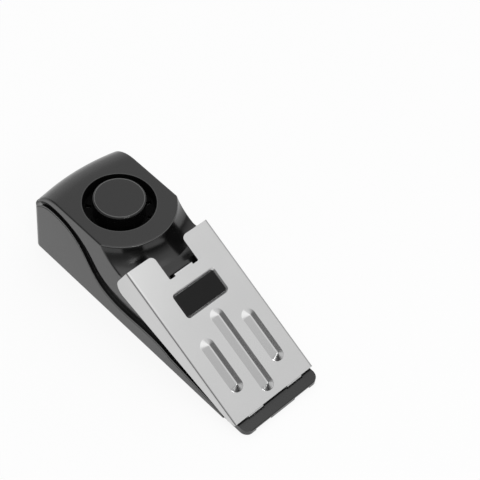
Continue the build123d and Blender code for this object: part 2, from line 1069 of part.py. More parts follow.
def scoop_cut():
    """Finger scoop in front of the door and the opening for the latch."""
    top = case_bottom + scoop_depth
    cut = column(scoop_x, 0, scoop_radius, -overrun, top)
    cut += block(door_end, scoop_x, -scoop_radius, scoop_radius, -overrun, top)
    side = latch_width / 2 + latch_slot_side
    front = latch_front_x() + latch_nib + latch_slot_front
    cut += block(
        door_end - latch_slot_back,
        front,
        -side,
        side,
        -overrun,
        case_bottom + latch_height + latch_strip + running_gap,
    )
    return cut


def latch_front_x():
    """Front face of the latch's outer leg."""
    return door_end + 2 * latch_strip + latch_leg_gap


def escutcheon_tongue():
    """Switch plate that stands up from the floor and fills the arch in the upper case."""
    face_y = upper_half - escutcheon_sunk
    plate = escutcheon_prism(0, face_y - escutcheon_thickness, face_y)
    foot = block(
        escutcheon_x - escutcheon_width / 2,
        escutcheon_x + escutcheon_width / 2,
        face_y - lower_wall,
        face_y,
        inner_floor_z,
        inner_floor_top,
    )
    reach = knob_travel + knob_stem_width / 2 + sliding_gap
    slot = block(
        knob_rest_x - reach,
        knob_rest_x + knob_stem_width / 2 + sliding_gap,
        0,
        lower_half,
        knob_z - knob_slot_height / 2,
        knob_z + knob_slot_height / 2,
    )
    return plate + foot - slot


def grip_recess(start, length, width):
    """Shallow recess for a rubber grip."""
    return block(
        start - grip_gap,
        start + length + grip_gap,
        -width / 2 - grip_gap,
        width / 2 + grip_gap,
        -overrun,
        case_bottom + pad_recess(),
    )


def grip_pad(start, length, width):
    """Rubber grip, a flat pad that stands a little proud of the case."""
    return rounded_block(
        start, start + length, -width / 2, width / 2, 0, grip_thickness, grip_corner_radius
    )


def build_rear_grip_pad():
    """Rubber grip on the battery door."""
    return grip_pad(rear_grip_start, rear_grip_length, rear_grip_width)


def build_front_grip_pad():
    """Rubber grip under the nose end."""
    return grip_pad(front_grip_start, front_grip_length, front_grip_width)


def build_battery_door():
    """Door under the battery, with two hooks at the heel and a sprung latch at the front."""
    door = door_plan(0, case_bottom, door_top)
    for i in (-1, 0, 1):
        y = battery_y + i * door_rib_spacing / 2
        door += block(
            bay_start + wall,
            bay_end - wall,
            y - door_rib_width / 2,
            y + door_rib_width / 2,
            door_top - seam,
            door_top + door_rib_height,
        )
    edge = hook_edge_x()
    hook_end = edge + door_hook_reach / 2 + wall
    for side in (-1, 1):
        y = side * door_hook_y
        door += block(
            edge + door_hook_reach / 2,
            hook_end,
            y - door_hook_width / 2,
            y + door_hook_width / 2,
            door_top - seam,
            door_top + running_gap + door_hook_thickness,
        )
        door += block(
            edge - door_hook_reach,
            hook_end,
            y - door_hook_width / 2,
            y + door_hook_width / 2,
            door_top + running_gap,
            door_top + running_gap + door_hook_thickness,
        )
    door += latch()
    door -= grip_recess(rear_grip_start, rear_grip_length, rear_grip_width)
    line_y = rear_grip_width / 2 + door_line_width
    door -= block(
        rear_grip_start + rear_grip_length,
        door_end - door_line_inset,
        -line_y - door_line_width,
        -line_y,
        0,
        case_bottom + door_line_depth,
    )
    return door


def latch():
    """U-shaped spring strip that ends in a small finger tab."""
    half = latch_width / 2
    low = case_bottom
    high = case_bottom + latch_height
    inner_leg = block(door_end - seam, door_end + latch_strip, -half, half, low, high)
    outer_x = door_end + latch_strip + latch_leg_gap
    tab_low = case_bottom + sliding_gap
    outer_leg = block(outer_x, outer_x + latch_strip, -half, half, tab_low, high)
    bridge = block(door_end, outer_x + latch_strip, -half, half, high - latch_strip, high)
    strip = inner_leg + outer_leg + bridge
    bends = strip.edges().filter_by(Axis.Y).group_by(Axis.Z)[-1]
    strip = fillet(bends, latch_bend_radius)
    tab = rounded_block(
        outer_x,
        outer_x + latch_tab_length,
        -half,
        half,
        tab_low,
        tab_low + latch_tab_thickness,
        latch_strip,
    )
    front = outer_x + latch_strip
    nib_z = case_bottom + scoop_depth + scoop_wall + latch_nib
    nib = block(
        front - latch_nib, front + latch_nib, -half / 2, half / 2, nib_z, nib_z + latch_strip
    )
    return strip + tab + nib


def sheet_strap(points, y_low, y_high):
    """Bent strip of sheet: the outline of its edge in the x-z plane, drawn out along y."""
    return side_prism([Polyline(side_points(*points, points[0]))], y_low, y_high)


def build_pressure_plate():
    """Folded sheet with two flanges, notched ears, badge window, ridges, tongue and front tabs."""
    half = plate_width / 2
    depth = flange_rear_depth + overrun
    outer = block(0, plate_length, -half, half, -depth, 0)
    outer = fillet(top_long_edges(outer), fold_radius)
    inner = block(-overrun, plate_length + overrun, sheet - half, half - sheet, -depth - sheet, -sheet)
    inner = fillet(top_long_edges(inner), fold_radius - sheet)
    channel = outer - inner
    outline = Polyline(
        side_points(
            (0, overrun),
            (plate_length, overrun),
            (plate_length, -flange_tip_depth),
            (flange_front_length, -flange_front_depth),
            (0, -flange_rear_depth),
            (0, overrun),
        )
    )
    trim = side_prism([outline], -half - overrun, half + overrun)
    corner = trim.edges().filter_by(Axis.Y).sort_by(Axis.Z)[0]
    trim = fillet(corner, flange_rear_radius)
    body = channel & trim
    body -= rounded_notch()
    body += badge_tray()
    body -= badge_window()
    for y, start, end in ridge_places():
        form = ridge_form(start, end, y)
        body += form
        body -= Pos(0, 0, -sheet) * form
    body = Pos(plate_rear_x, 0, plate_rear_z) * Rot(0, math.degrees(plate_slope), 0) * body
    for side in (-1, 1):
        body += front_tab(side * tab_spacing / 2)
    body += rear_tongue()
    return body


def top_long_edges(solid):
    """The two upper edges that run along the plate."""
    return solid.edges().filter_by(Axis.X).group_by(Axis.Z)[-1]


def rounded_notch():
    """Notch between the two ears at the plate's high end."""
    half = notch_width / 2
    cut = block(-overrun, notch_depth, -half, half, -2 * sheet, overrun)
    root = cut.edges().filter_by(Axis.Z).group_by(Axis.X)[-1]
    cut = fillet(root, notch_root_radius)
    radius = notch_ear_radius
    for side in (-1, 1):
        corner = block(
            -overrun,
            radius,
            side * half if side > 0 else side * half - radius,
            side * half + radius if side > 0 else side * half,
            -2 * sheet,
            overrun,
        )
        corner -= column(radius, side * (half + radius), radius, -2 * sheet, overrun)
        cut += corner
    return cut


def badge_tray():
    """Pressed tray round the badge window that carries the badge."""
    foot = badge_outline(sheet / 2, -badge_sunk - sheet)
    brim = badge_outline(sheet / 2 + badge_bevel, -sheet / 2)
    return loft([foot, brim], ruled=True)


def badge_outline(margin, z):
    """Rounded outline of the badge's window, wider by a margin, at a height above the plate's face."""
    outline = RectangleRounded(
        badge_length + 2 * margin, badge_width + 2 * margin, badge_corner_radius + margin
    )
    return Pos(badge_start + badge_length / 2, 0, z) * outline


def badge_window():
    """Recess for the badge, whose walls lean outwards up to the plate's face and on past it."""
    return loft([badge_outline(0, -badge_sunk), badge_outline(2 * badge_bevel, badge_sunk)], ruled=True)


def ridge_places():
    """Across, start and end of the three ridges."""
    return [
        (0, middle_ridge_start, middle_ridge_end),
        (-ridge_spacing, side_ridge_start, side_ridge_end),
        (ridge_spacing, side_ridge_start, side_ridge_end),
    ]


def ridge_form(start, end, y):
    """Ridge with a rounded crest and cone-shaped ends, standing on the plate's upper face."""
    half = ridge_width / 2
    slope = math.atan2(ridge_height, half)
    crest_x = ridge_crest_radius * math.sin(slope)
    tangent_z = ridge_height - crest_x * math.tan(slope)
    crest_z = tangent_z + ridge_crest_radius * (1 - math.cos(slope))
    right = Line((half, 0), (crest_x, tangent_z))
    crest = ThreePointArc((crest_x, tangent_z), (0, crest_z), (-crest_x, tangent_z))
    left = Line((-crest_x, tangent_z), (-half, 0))
    base = Line((-half, 0), (half, 0))
    section = make_face([right, crest, left, base])
    run_start = start + half
    run_length = end - start - ridge_width
    bar = extrude(Plane.YZ * section, amount=run_length, dir=(1, 0, 0))
    half_section = section & Pos(half / 2, half / 2) * Rectangle(half, half)
    cone = revolve(Rot(90, 0, 0) * half_section, axis=Axis.Z)
    return Pos(run_start, y, 0) * (bar + cone + Pos(run_length, 0, 0) * cone)


def front_tab(y):
    """Tab bent down from the plate's front edge, with a foot that hooks under the nose."""
    back = tab_strap_x
    front = tab_strap_x + sheet
    tip = back + tab_foot_length
    root_x = back - 2 * sheet
    foot = tab_foot_z
    points = [
        (root_x, plate_top_z(root_x)),
        (back + sheet / 2, plate_top_z(back + sheet / 2)),
        (front, plate_top_z(front) - sheet / 2),
        (front, foot + sheet),
        (tip, foot + sheet),
        (tip, foot),
        (back, foot),
        (back, plate_top_z(back) - sheet_drop),
        (root_x, plate_top_z(root_x) - sheet_drop),
    ]
    strap = sheet_strap(points, y - tab_width / 2, y + tab_width / 2)
    heel_bend = strap.edges().filter_by(Axis.Y).filter_by_position(Axis.X, back, back)
    strap = fillet(heel_bend.sort_by(Axis.Z)[0], tab_bend_radius)
    tip_corners = strap.edges().filter_by(Axis.Z).group_by(Axis.X)[-1]
    return fillet(tip_corners, tab_bend_radius)


def rear_tongue():
    """Tongue bent down from the notch, with a foot that hooks under the ramp."""
    back = tongue_x
    front = tongue_x + sheet
    root_x = front + 2 * sheet + tongue_stand
    tip = front + tongue_foot_length
    foot_top = ramp_z(front + tongue_slot_front) - wall / math.cos(plate_slope) - hook_gap
    foot_top -= tongue_foot_length * plate_fall
    foot = foot_top - sheet
    points = [
        (root_x, plate_top_z(root_x)),
        (back, plate_top_z(back)),
        (back, foot),
        (tip, foot),
        (tip, foot_top),
        (front, foot_top),
        (front, plate_top_z(front) - sheet_drop),
        (root_x, plate_top_z(root_x) - sheet_drop),
    ]
    strap = sheet_strap(points, -tongue_width / 2, tongue_width / 2)
    bends = strap.edges().filter_by(Axis.Y).filter_by_position(Axis.X, back, back).sort_by(Axis.Z)
    strap = fillet(bends[-1], tongue_bend_radius)
    bends = strap.edges().filter_by(Axis.Y).filter_by_position(Axis.X, back, back).sort_by(Axis.Z)
    return fillet(bends[0], tab_bend_radius)


def build_badge():
    """Blank badge that lies in the plate's window, a little below its face."""
    badge = rounded_block(
        badge_start + badge_gap,
        badge_start + badge_length - badge_gap,
        -badge_width / 2 + badge_gap,
        badge_width / 2 - badge_gap,
        -badge_sunk,
        -badge_face_drop,
        badge_corner_radius - badge_gap,
    )
    return Pos(plate_rear_x, 0, plate_rear_z) * Rot(0, math.degrees(plate_slope), 0) * badge


def build_siren_cap():
    """Round cap in the middle of the well, hollow, with a spigot through the well's floor."""
    cap = column(siren_x, 0, cap_radius, well_floor_top, cap_top)
    rim = cap.edges().filter_by(GeomType.CIRCLE).group_by(Axis.Z)[-1]
    cap = fillet(rim, cap_edge_radius)
    cap -= column(siren_x, 0, cap_radius - cap_wall, well_floor_top - overrun, cap_top - cap_wall)
    spigot_outer = column(
        siren_x, 0, cap_spigot_radius, well_floor_bottom, cap_top - cap_wall / 2
    )
    spigot_inner = column(
        siren_x,
        0,
        cap_spigot_radius - cap_spigot_wall,
        well_floor_bottom - overrun,
        cap_top - cap_wall,
    )
    return cap + (spigot_outer - spigot_inner)


def build_piezo_holder():
    """Ring under the well that holds the edge of the siren disc."""
    top = well_floor_bottom
    ring = column(siren_x, 0, holder_outer_radius, top - holder_height, top)
    ring -= column(siren_x, 0, holder_inner_radius, top - holder_height - overrun, top + overrun)
    ring -= column(
        siren_x,
        0,
        disc_radius + slip_gap,
        top - holder_height - overrun,
        top - holder_height + disc_seat,
    )
    return ring


def disc_top_z():
    """Height of the siren disc's upper face, at the shoulder of its holder."""
    return well_floor_bottom - holder_height + disc_seat


def build_piezo_disc():
    """Thin brass disc of the siren."""
    return column(siren_x, 0, disc_radius, disc_top_z() - disc_thickness, disc_top_z())


def build_piezo_ceramic():
    """Ceramic layer on the disc's lower face."""
    top = disc_top_z() - disc_thickness
    return column(siren_x, 0, ceramic_radius, top - ceramic_thickness, top)


def build_battery():
    """Block battery, lying on the door."""
    body = rounded_block(
        battery_start,
        battery_start + battery_length,
        battery_y - battery_width / 2,
        battery_y + battery_width / 2,
        battery_bottom,
        battery_top,
        battery_corner_radius,
    )
    return body


def along_x(x_low, x_high, y, z, radius):
    """Round solid lying along x."""
    return Pos((x_low + x_high) / 2, y, z) * Rot(0, 90, 0) * Cylinder(radius, x_high - x_low)


def build_battery_terminals():
    """The battery's stud and socket."""
    face = battery_start + battery_length
    z = battery_bottom + battery_height / 2
    stud = along_x(face, face + stud_height, battery_y - stud_spacing / 2, z, stud_radius)
    socket = along_x(face, face + stud_height, battery_y + stud_spacing / 2, z, socket_radius)
    socket -= along_x(
        face + socket_floor,
        face + stud_height + overrun,
        battery_y + stud_spacing / 2,
        z,
        stud_radius,
    )
    return Compound([stud, socket])


def build_battery_snap():
    """Clip with two contacts that presses onto the battery's terminals."""
    face = battery_start + battery_length + stud_height + snap_gap
    z = battery_bottom + battery_height / 2
    return rounded_along_x(
        face,
        face + snap_thickness,
        battery_y - snap_length / 2,
        battery_y + snap_length / 2,
        z - snap_width / 2,
        z + snap_width / 2,
        battery_corner_radius,
    )


def rounded_along_x(x_low, x_high, y_low, y_high, z_low, z_high, radius):
    """Rectangular solid with rounded edges along x."""
    solid = block(x_low, x_high, y_low, y_high, z_low, z_high)
    return fillet(solid.edges().filter_by(Axis.X), radius)


def board_part_z():
    """Height of the row of parts on the circuit board."""
    return inner_floor_top + board_height * part_z_share


def build_circuit_board():
    """Circuit board on edge in its guides."""
    return block(
        board_start,
        board_start + board_length,
        board_y,
        board_y + board_thickness,
        inner_floor_top,
        inner_floor_top + board_height,
    )


def build_control_chip():
    """Chip on the board's inner face."""
    z = board_part_z()
    return block(
        chip_x - chip_length / 2,
        chip_x + chip_length / 2,
        board_y - chip_thickness,
        board_y,
        z - chip_width / 2,
        z + chip_width / 2,
    )


def toward_battery(x, z, radius, start, length):
    """Round solid that stands on the board's inner face."""
    return Pos(x, board_y - start - length / 2, z) * Rot(90, 0, 0) * Cylinder(radius, length)


def build_step_up_coil():
    """Drum coil that raises the voltage for the siren."""
    z = board_part_z()
    coil = toward_battery(coil_x, z, coil_radius, 0, coil_flange)
    coil += toward_battery(coil_x, z, coil_core_radius, 0, coil_length)
    coil += toward_battery(coil_x, z, coil_radius, coil_length - coil_flange, coil_flange)
    return coil


def build_capacitor():
    """Small can capacitor."""
    return toward_battery(capacitor_x, board_part_z(), capacitor_radius, 0, capacitor_length)


def build_resistors():
    """Row of small resistors along the board's lower edge."""
    z = inner_floor_top + board_height * resistor_z_share
    rows = []
    for i in range(resistor_count):
        x = chip_x - chip_length + i * resistor_pitch
        rows.append(
            block(
                x,
                x + resistor_width,
                board_y - resistor_thickness,
                board_y,
                z - resistor_length / 2,
                z + resistor_length / 2,
            )
        )
    return Compound(rows)


def slide_face_y():
    """Outer face of the slide switch's body."""
    return board_y + board_thickness + slide_body_depth


def knob_middle_x():
    """Middle of the knob's way."""
    return knob_rest_x - knob_travel / 2


def build_slide_switch():
    """Body of the slide switch on the board's outer face."""
    x = knob_middle_x()
    return block(
        x - slide_body_length / 2,
        x + slide_body_length / 2,
        board_y + board_thickness,
        slide_face_y(),
        knob_z - slide_body_height / 2,
        knob_z + slide_body_height / 2,
    )


def build_sensitivity_knob():
    """Ridged slider with a stem through the switch plate and a shoe behind it."""
    face = upper_half - escutcheon_sunk
    back = escutcheon_back
    x = knob_rest_x
    thumb = block(
        x - knob_width / 2,
        x + knob_width / 2,
        face + sliding_gap,
        face + sliding_gap + knob_proud,
        knob_z - knob_height / 2,
        knob_z + knob_height / 2,
    )
    pitch = knob_width / knob_ridges
    for i in range(knob_ridges - 1):
        groove_x = x - knob_width / 2 + pitch * (i + 1)
        thumb -= block(
            groove_x - pitch / 4,
            groove_x + pitch / 4,
            face + sliding_gap + knob_proud - knob_ridge_depth,
            lower_half + overrun,
            knob_z - knob_height,
            knob_z + knob_height,
        )
    stem = block(
        x - knob_stem_width / 2,
        x + knob_stem_width / 2,
        back - sliding_gap - knob_shoe_thickness,
        face + sliding_gap + knob_proud / 2,
        knob_z - knob_stem_height / 2,
        knob_z + knob_stem_height / 2,
    )
    shoe_face = back - sliding_gap
    shoe = block(
        x - knob_shoe_length / 2,
        x + knob_shoe_length / 2,
        shoe_face - knob_shoe_thickness,
        shoe_face,
        knob_z - knob_shoe_height / 2,
        knob_z + knob_shoe_height / 2,
    )
    lever = block(
        x - slide_lever_width / 2,
        x + slide_lever_width / 2,
        slide_face_y() + slip_gap,
        shoe_face - knob_shoe_thickness / 2,
        knob_z - slide_lever_height / 2,
        knob_z + slide_lever_height / 2,
    )
    return thumb + stem + shoe + lever


def build_trigger_plunger():
    """Plunger between the plate and the trigger switch: domed head and thin stem."""
    centre = plunger_head_z()
    under = centre - plunger_head_length
    dome = Pos(plunger_x, 0, centre) * Sphere(plunger_radius)
    dome &= block(
        plunger_x - 2 * plunger_radius,
        plunger_x + 2 * plunger_radius,
        -2 * plunger_radius,
        2 * plunger_radius,
        centre,
        deck_height,
    )
    head = column(plunger_x, 0, plunger_radius, under, centre)
    stem = column(plunger_x, 0, plunger_stem_radius, stem_end_z(), under)
    return dome + head + stem


def spring_ends():
    """Heights of the spring's lower and upper ends."""
    low = ramp_z(plunger_x) - spring_seat_drop + slip_gap
    high = plunger_head_z() - plunger_head_length - slip_gap
    return low, high


def spring_pitch():
    """Rise of the spring in one turn."""
    low, high = spring_ends()
    return (high - low - spring_wire) / spring_turns


def spring_gap():
    """Least gap between the spring's wire on one turn and on the next, measured on points."""
    first = Vector(spring_radius, 0, 0)
    gaps = []
    for i in range(-spring_gap_samples // 2, spring_gap_samples // 2 + 1):
        turns = i / spring_gap_samples
        point = Vector(
            spring_radius * math.cos(2 * math.pi * turns),
            spring_radius * math.sin(2 * math.pi * turns),
            spring_pitch() * (1 + turns),
        )
        gaps.append((point - first).length - spring_wire)
    return min(gaps)


def build_return_spring():
    """Coil spring that lifts the plunger, and with it the plate."""
    low, high = spring_ends()
    height = high - low - spring_wire
    path = Helix(pitch=spring_pitch(), height=height, radius=spring_radius)
    section = Plane(origin=path @ 0, z_dir=path % 0) * RegularPolygon(
        spring_wire / 2, spring_wire_sides
    )
    coil = sweep(section, path=path)
    return Pos(plunger_x, 0, low + spring_wire / 2) * coil


def build_trigger_switch():
    """Small switch that the plunger works, with a bore for its button."""
    top = trigger_top_z()
    body = block(
        plunger_x - trigger_width / 2,
        plunger_x + trigger_width / 2,
        -trigger_length / 2,
        trigger_length / 2,
        top - trigger_height,
        top,
    )
    depth = button_sunk + plunger_travel() + slip_gap
    return body - column(plunger_x, 0, button_radius + sliding_gap, top - depth, top + overrun)


def build_trigger_button():
    """Button of the trigger switch."""
    top = trigger_top_z()
    return column(plunger_x, 0, button_radius, top - button_sunk, top + button_proud)


def build_case_screws():
    """Four screws that hold the two halves together, heads down."""
    screws = []
    for x, y in screw_places():
        seat = screw_seat_z(x)
        screw = column(x, y, screw_head_radius, seat - screw_head_height, seat)
        screw += column(x, y, screw_radius - slip_gap, seat, seat + screw_length)
        screw -= block(
            x - screw_head_radius,
            x + screw_head_radius,
            y - screw_slot_width / 2,
            y + screw_slot_width / 2,
            seat - screw_head_height - overrun,
            seat - screw_head_height / 2,
        )
        screws.append(screw)
    return Compound(screws)


def lead(points):
    """Insulated wire along straight runs joined by round bends."""
    path = FilletPolyline(*points, radius=lead_bend_radius)
    section = Plane(origin=path @ 0, z_dir=path % 0) * RegularPolygon(lead_radius, lead_sides)
    return sweep(section, path=path)


def battery_lead(side):
    """Lead from the edge of the snap through the gap in the bay's wall to the board."""
    x = battery_lead_x
    z = battery_bottom + battery_height / 2 + side * lead_spacing
    start = battery_y + snap_length / 2
    gap_end = battery_y + bay_half + bay_wall
    middle = (gap_end + board_y) / 2
    return lead(
        [
            (x, start, z),
            (x, gap_end, z),
            (x, middle, z + side * lead_spacing / 2),
            (x, board_y, z + side * lead_spacing / 2),
        ]
    )


def build_battery_lead_red():
    """Upper lead of the battery."""
    return battery_lead(1)


def build_battery_lead_black():
    """Lower lead of the battery."""
    return battery_lead(-1)


def build_siren_leads():
    """Two thin leads from the siren disc down to the top of the board."""
    under = disc_top_z() - disc_thickness - ceramic_thickness
    board_middle = board_y + board_thickness / 2
    board_top = inner_floor_top + board_height
    leads = []
    for side in (-1, 1):
        x = siren_lead_x + side * lead_spacing / 2
        y = ceramic_radius / 2
        low = under - lead_sag
        leads.append(
            lead([(x, y, under), (x, y, low), (x, board_middle, low), (x, board_middle, board_top)])
        )
    return Compound(leads)


def build_trigger_leads():
    """Two leads from the trigger switch back to the front edge of the board."""
    end_y = trigger_length / 2
    start_z = trigger_top_z() - trigger_height / 2
    board_end = board_start + board_length
    board_middle = board_y + board_thickness / 2
    leads = []
    for side in (-1, 1):
        z = start_z + side * lead_spacing / 2
        leads.append(
            lead(
                [
                    (plunger_x, end_y, z),
                    (plunger_x, trigger_lead_y, z),
                    (board_end + guide_width + lead_spacing, trigger_lead_y, z + trigger_lead_rise),
                    (board_end + guide_width, board_middle - guide_depth / 2, z + trigger_lead_rise),
                ]
            )
        )
    return Compound(leads)


pieces = {
    "upper_case": build_upper_case,
    "lower_case": build_lower_case,
    "battery_door": build_battery_door,
    "rear_grip_pad": build_rear_grip_pad,
    "front_grip_pad": build_front_grip_pad,
    "pressure_plate": build_pressure_plate,
    "badge": build_badge,
    "siren_cap": build_siren_cap,
    "piezo_holder": build_piezo_holder,
    "piezo_disc": build_piezo_disc,
    "piezo_ceramic": build_piezo_ceramic,
    "battery": build_battery,
    "battery_terminals": build_battery_terminals,
    "battery_snap": build_battery_snap,
    "circuit_board": build_circuit_board,
    "control_chip": build_control_chip,
    "step_up_coil": build_step_up_coil,
    "capacitor": build_capacitor,
    "resistors": build_resistors,
    "slide_switch": build_slide_switch,
    "sensitivity_knob": build_sensitivity_knob,
    "trigger_plunger": build_trigger_plunger,
    "return_spring": build_return_spring,
    "trigger_switch": build_trigger_switch,
    "trigger_button": build_trigger_button,
    "case_screws": build_case_screws,
    "battery_lead_red": build_battery_lead_red,
    "battery_lead_black": build_battery_lead_black,
    "siren_leads": build_siren_leads,
    "trigger_leads": build_trigger_leads,
}

os.makedirs("parts", exist_ok=True)
for name, build in pieces.items():
    solid = Pos(-case_length / 2, 0, 0) * build()
    export_step(solid, f"parts/{name}.step")
    print(name, "solids", len(solid.solids()), "volume", round(solid.volume, 1))

spring_low, spring_high = spring_ends()
print("plunger travel", round(plunger_travel(), 3))
print("spring from", round(spring_low, 3), "to", round(spring_high, 3))
print("least gap between spring turns", round(spring_gap(), 3))
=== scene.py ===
# %% [markdown]
# A door stop alarm is a black plastic wedge with a silver steel plate. Pushed under a door, the plate
# goes down and the siren sounds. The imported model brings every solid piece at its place, in metres:
# +X runs to the thin nose, +Y is the side with the sensitivity switch and the floor is at zero height.
# This lesson gives the pieces their finishes, models the skins that need more than a solid, and sets
# the light and the camera.

# %% Load the frame
import json
import math

import bmesh
import bpy
import numpy as np
from mathutils import Matrix, Vector


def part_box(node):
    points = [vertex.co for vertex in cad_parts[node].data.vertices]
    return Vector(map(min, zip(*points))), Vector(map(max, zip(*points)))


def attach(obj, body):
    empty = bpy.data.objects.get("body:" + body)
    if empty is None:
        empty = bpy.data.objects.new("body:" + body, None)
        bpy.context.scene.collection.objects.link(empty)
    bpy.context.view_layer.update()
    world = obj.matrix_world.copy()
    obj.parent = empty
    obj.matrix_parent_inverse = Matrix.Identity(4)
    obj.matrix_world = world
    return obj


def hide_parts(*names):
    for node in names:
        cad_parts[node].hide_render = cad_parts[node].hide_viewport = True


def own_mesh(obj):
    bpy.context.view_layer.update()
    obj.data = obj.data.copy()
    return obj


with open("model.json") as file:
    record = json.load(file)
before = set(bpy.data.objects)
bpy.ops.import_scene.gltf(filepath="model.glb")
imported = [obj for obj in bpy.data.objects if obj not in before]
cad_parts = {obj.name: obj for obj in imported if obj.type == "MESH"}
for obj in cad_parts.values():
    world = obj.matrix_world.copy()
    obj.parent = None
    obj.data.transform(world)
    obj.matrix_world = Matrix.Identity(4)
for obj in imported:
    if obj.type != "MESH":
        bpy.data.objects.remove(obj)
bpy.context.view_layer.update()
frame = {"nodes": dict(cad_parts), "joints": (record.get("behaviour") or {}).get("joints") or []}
nodes = frame["nodes"]
mm = 0.001

# %% [markdown]
# Blender shows data, such as a mesh, a lamp or a camera, through an object in a collection. Every piece
# here keeps its place in its mesh, so one helper puts each object into the scene and leaves it at the
# origin, unturned.


# %% Put an object into the scene
def put_in_scene(name, data):
    """New object at the origin that shows the data."""
    made = bpy.data.objects.new(name, data)
    bpy.context.scene.collection.objects.link(made)
    return made


# %% [markdown]
# The camera comes first, because every finish is judged through it. Its angles, its distance and its
# lens were fitted to the straight edges of the case, the corners of the deck and the two circles of the
# siren. It stands 0.66 m away, high over the nose and a little to the left, and it is turned a few
# degrees about its own line of sight.

# %% Camera
camera_azimuth = math.radians(40.925)
camera_elevation = math.radians(50.839)
camera_roll = math.radians(-6.779)
camera_distance = 663.94 * mm
camera_aim = Vector((7.94 * mm, 32.52 * mm, 30.91 * mm))
camera_lens = 110.787
camera_sensor = 36
nearest_seen = 0.01
farthest_seen = 20


def camera_axes(azimuth, elevation, roll):
    """Right, up and back directions: turned about the upright, tilted up, then rolled."""
    right = Vector((math.cos(azimuth), math.sin(azimuth), 0))
    back = Vector(
        (
            math.sin(azimuth) * math.cos(elevation),
            -math.cos(azimuth) * math.cos(elevation),
            math.sin(elevation),
        )
    )
    up = back.cross(right)
    rolled_right = math.cos(roll) * right - math.sin(roll) * up
    rolled_up = math.sin(roll) * right + math.cos(roll) * up
    return rolled_right, rolled_up, back


right, up, back = camera_axes(camera_azimuth, camera_elevation, camera_roll)
camera = put_in_scene("camera", bpy.data.cameras.new("camera"))
camera.data.sensor_width = camera_sensor
camera.data.lens = camera_lens
camera.data.clip_start = nearest_seen
camera.data.clip_end = farthest_seen
turn = Matrix((right, up, back)).transposed()
camera.matrix_world = Matrix.Translation(camera_aim + back * camera_distance) @ turn.to_4x4()
bpy.context.scene.camera = camera
print("camera at", [round(v, 4) for v in camera.matrix_world.translation])

# %% [markdown]
# Materials are written as sums and products. A small class wraps the output of a node, and its
# operators add the node that does the sum, so that a roughness reads like a formula. The reflected
# forms let a plain number stand first, as in 1 - mask.


# %% Sums of shader values
class Signal:
    """A value that varies over a surface. Sums and products of signals add Math nodes."""

    def __init__(self, paint, socket):
        self.paint = paint
        self.socket = socket

    def maths(self, operation, *values):
        """What a Math node makes of the values, in their order."""
        return self.paint.node("ShaderNodeMath", {"operation": operation}, dict(enumerate(values)))

    def __add__(self, other):
        return self.maths("ADD", self, other)

    def __radd__(self, other):
        return self.maths("ADD", other, self)

    def __sub__(self, other):
        return self.maths("SUBTRACT", self, other)

    def __rsub__(self, other):
        return self.maths("SUBTRACT", other, self)

    def __mul__(self, other):
        return self.maths("MULTIPLY", self, other)

    def __rmul__(self, other):
        return self.maths("MULTIPLY", other, self)


print("a signal can be added, subtracted and multiplied")

# %% [markdown]
# A second class holds the nodes of one material. One method makes any node from its type, its settings
# and its inputs, and a few short ones give the patterns that the finishes share: cloudy noise, a smooth
# step and a blend of two colours. A pattern on a piece reads Object coordinates, so it moves with it.


# %% Nodes of one material
class Paint:
    """The nodes of one material, or of the world."""

    def __init__(self, owner):
        owner.use_nodes = True
        self.owner = owner
        self.tree = owner.node_tree
        self.tree.nodes.clear()

    def give(self, socket, value):
        """A link for a signal, or a plain value on the socket itself."""
        if isinstance(value, Signal):
            self.tree.links.new(value.socket, socket)
        else:
            socket.default_value = value

    def make(self, kind, settings, inputs):
        """A new node: its settings are set first, then the values or links of its sockets."""
        made = self.tree.nodes.new(kind)
        for key, value in settings.items():
            setattr(made, key, value)
        for key, value in inputs.items():
            self.give(made.inputs[key], value)
        return made

    def node(self, kind, settings, inputs, output=0):
        """One output of a new node, as a signal."""
        return Signal(self, self.make(kind, settings, inputs).outputs[output])

    def place(self):
        """Place on the piece, in metres."""
        return self.node("ShaderNodeTexCoord", {}, {}, "Object")

    def vector(self, operation, first, second=(0, 0, 0), output=0):
        """What Vector Math makes of one or two vectors. A number comes from its output Value."""
        inputs = {0: first, 1: second}
        return self.node("ShaderNodeVectorMath", {"operation": operation}, inputs, output)

    def along(self, vector, axis):
        """One coordinate of a vector."""
        return self.node("ShaderNodeSeparateXYZ", {}, {"Vector": vector}, axis)

    def noise(self, size, detail=2.0, roughness=0.5, stretch=(1, 1, 1)):
        """Cloudy pattern from 0 to 1, whose lumps are about size across."""
        scaled = self.node("ShaderNodeMapping", {}, {"Vector": self.place(), "Scale": stretch})
        inputs = {"Vector": scaled, "Scale": 1 / size, "Detail": detail, "Roughness": roughness}
        return self.node("ShaderNodeTexNoise", {}, inputs, "Fac")

    def band(self, signal, low, high):
        """Smooth step of a signal from low to high."""
        inputs = {"Value": signal, "From Min": low, "From Max": high}
        settings = {"interpolation_type": "SMOOTHSTEP"}
        return self.node("ShaderNodeMapRange", settings, inputs)

    def blend(self, factor, first, second):
        """Colour between two colours. A Mix node has sockets of one name for each kind of value, so its
        colour sockets go by number."""
        colour_output = 2
        inputs = {0: factor, 6: first, 7: second}
        return self.node("ShaderNodeMix", {"data_type": "RGBA"}, inputs, colour_output)


def grey(level):
    """A neutral colour."""
    return (level, level, level, 1.0)


print("a neutral colour", grey(0.5))

# %% [markdown]
# Every finish is one Principled shader. Its fine relief goes through a Bump node into the normal, and a
# Bevel node in front of it rounds hard edges for the light alone. Where a piece has two finishes, the
# second shader is mixed into the first.


# %% A finish with a Principled shader
bevel_samples = 8


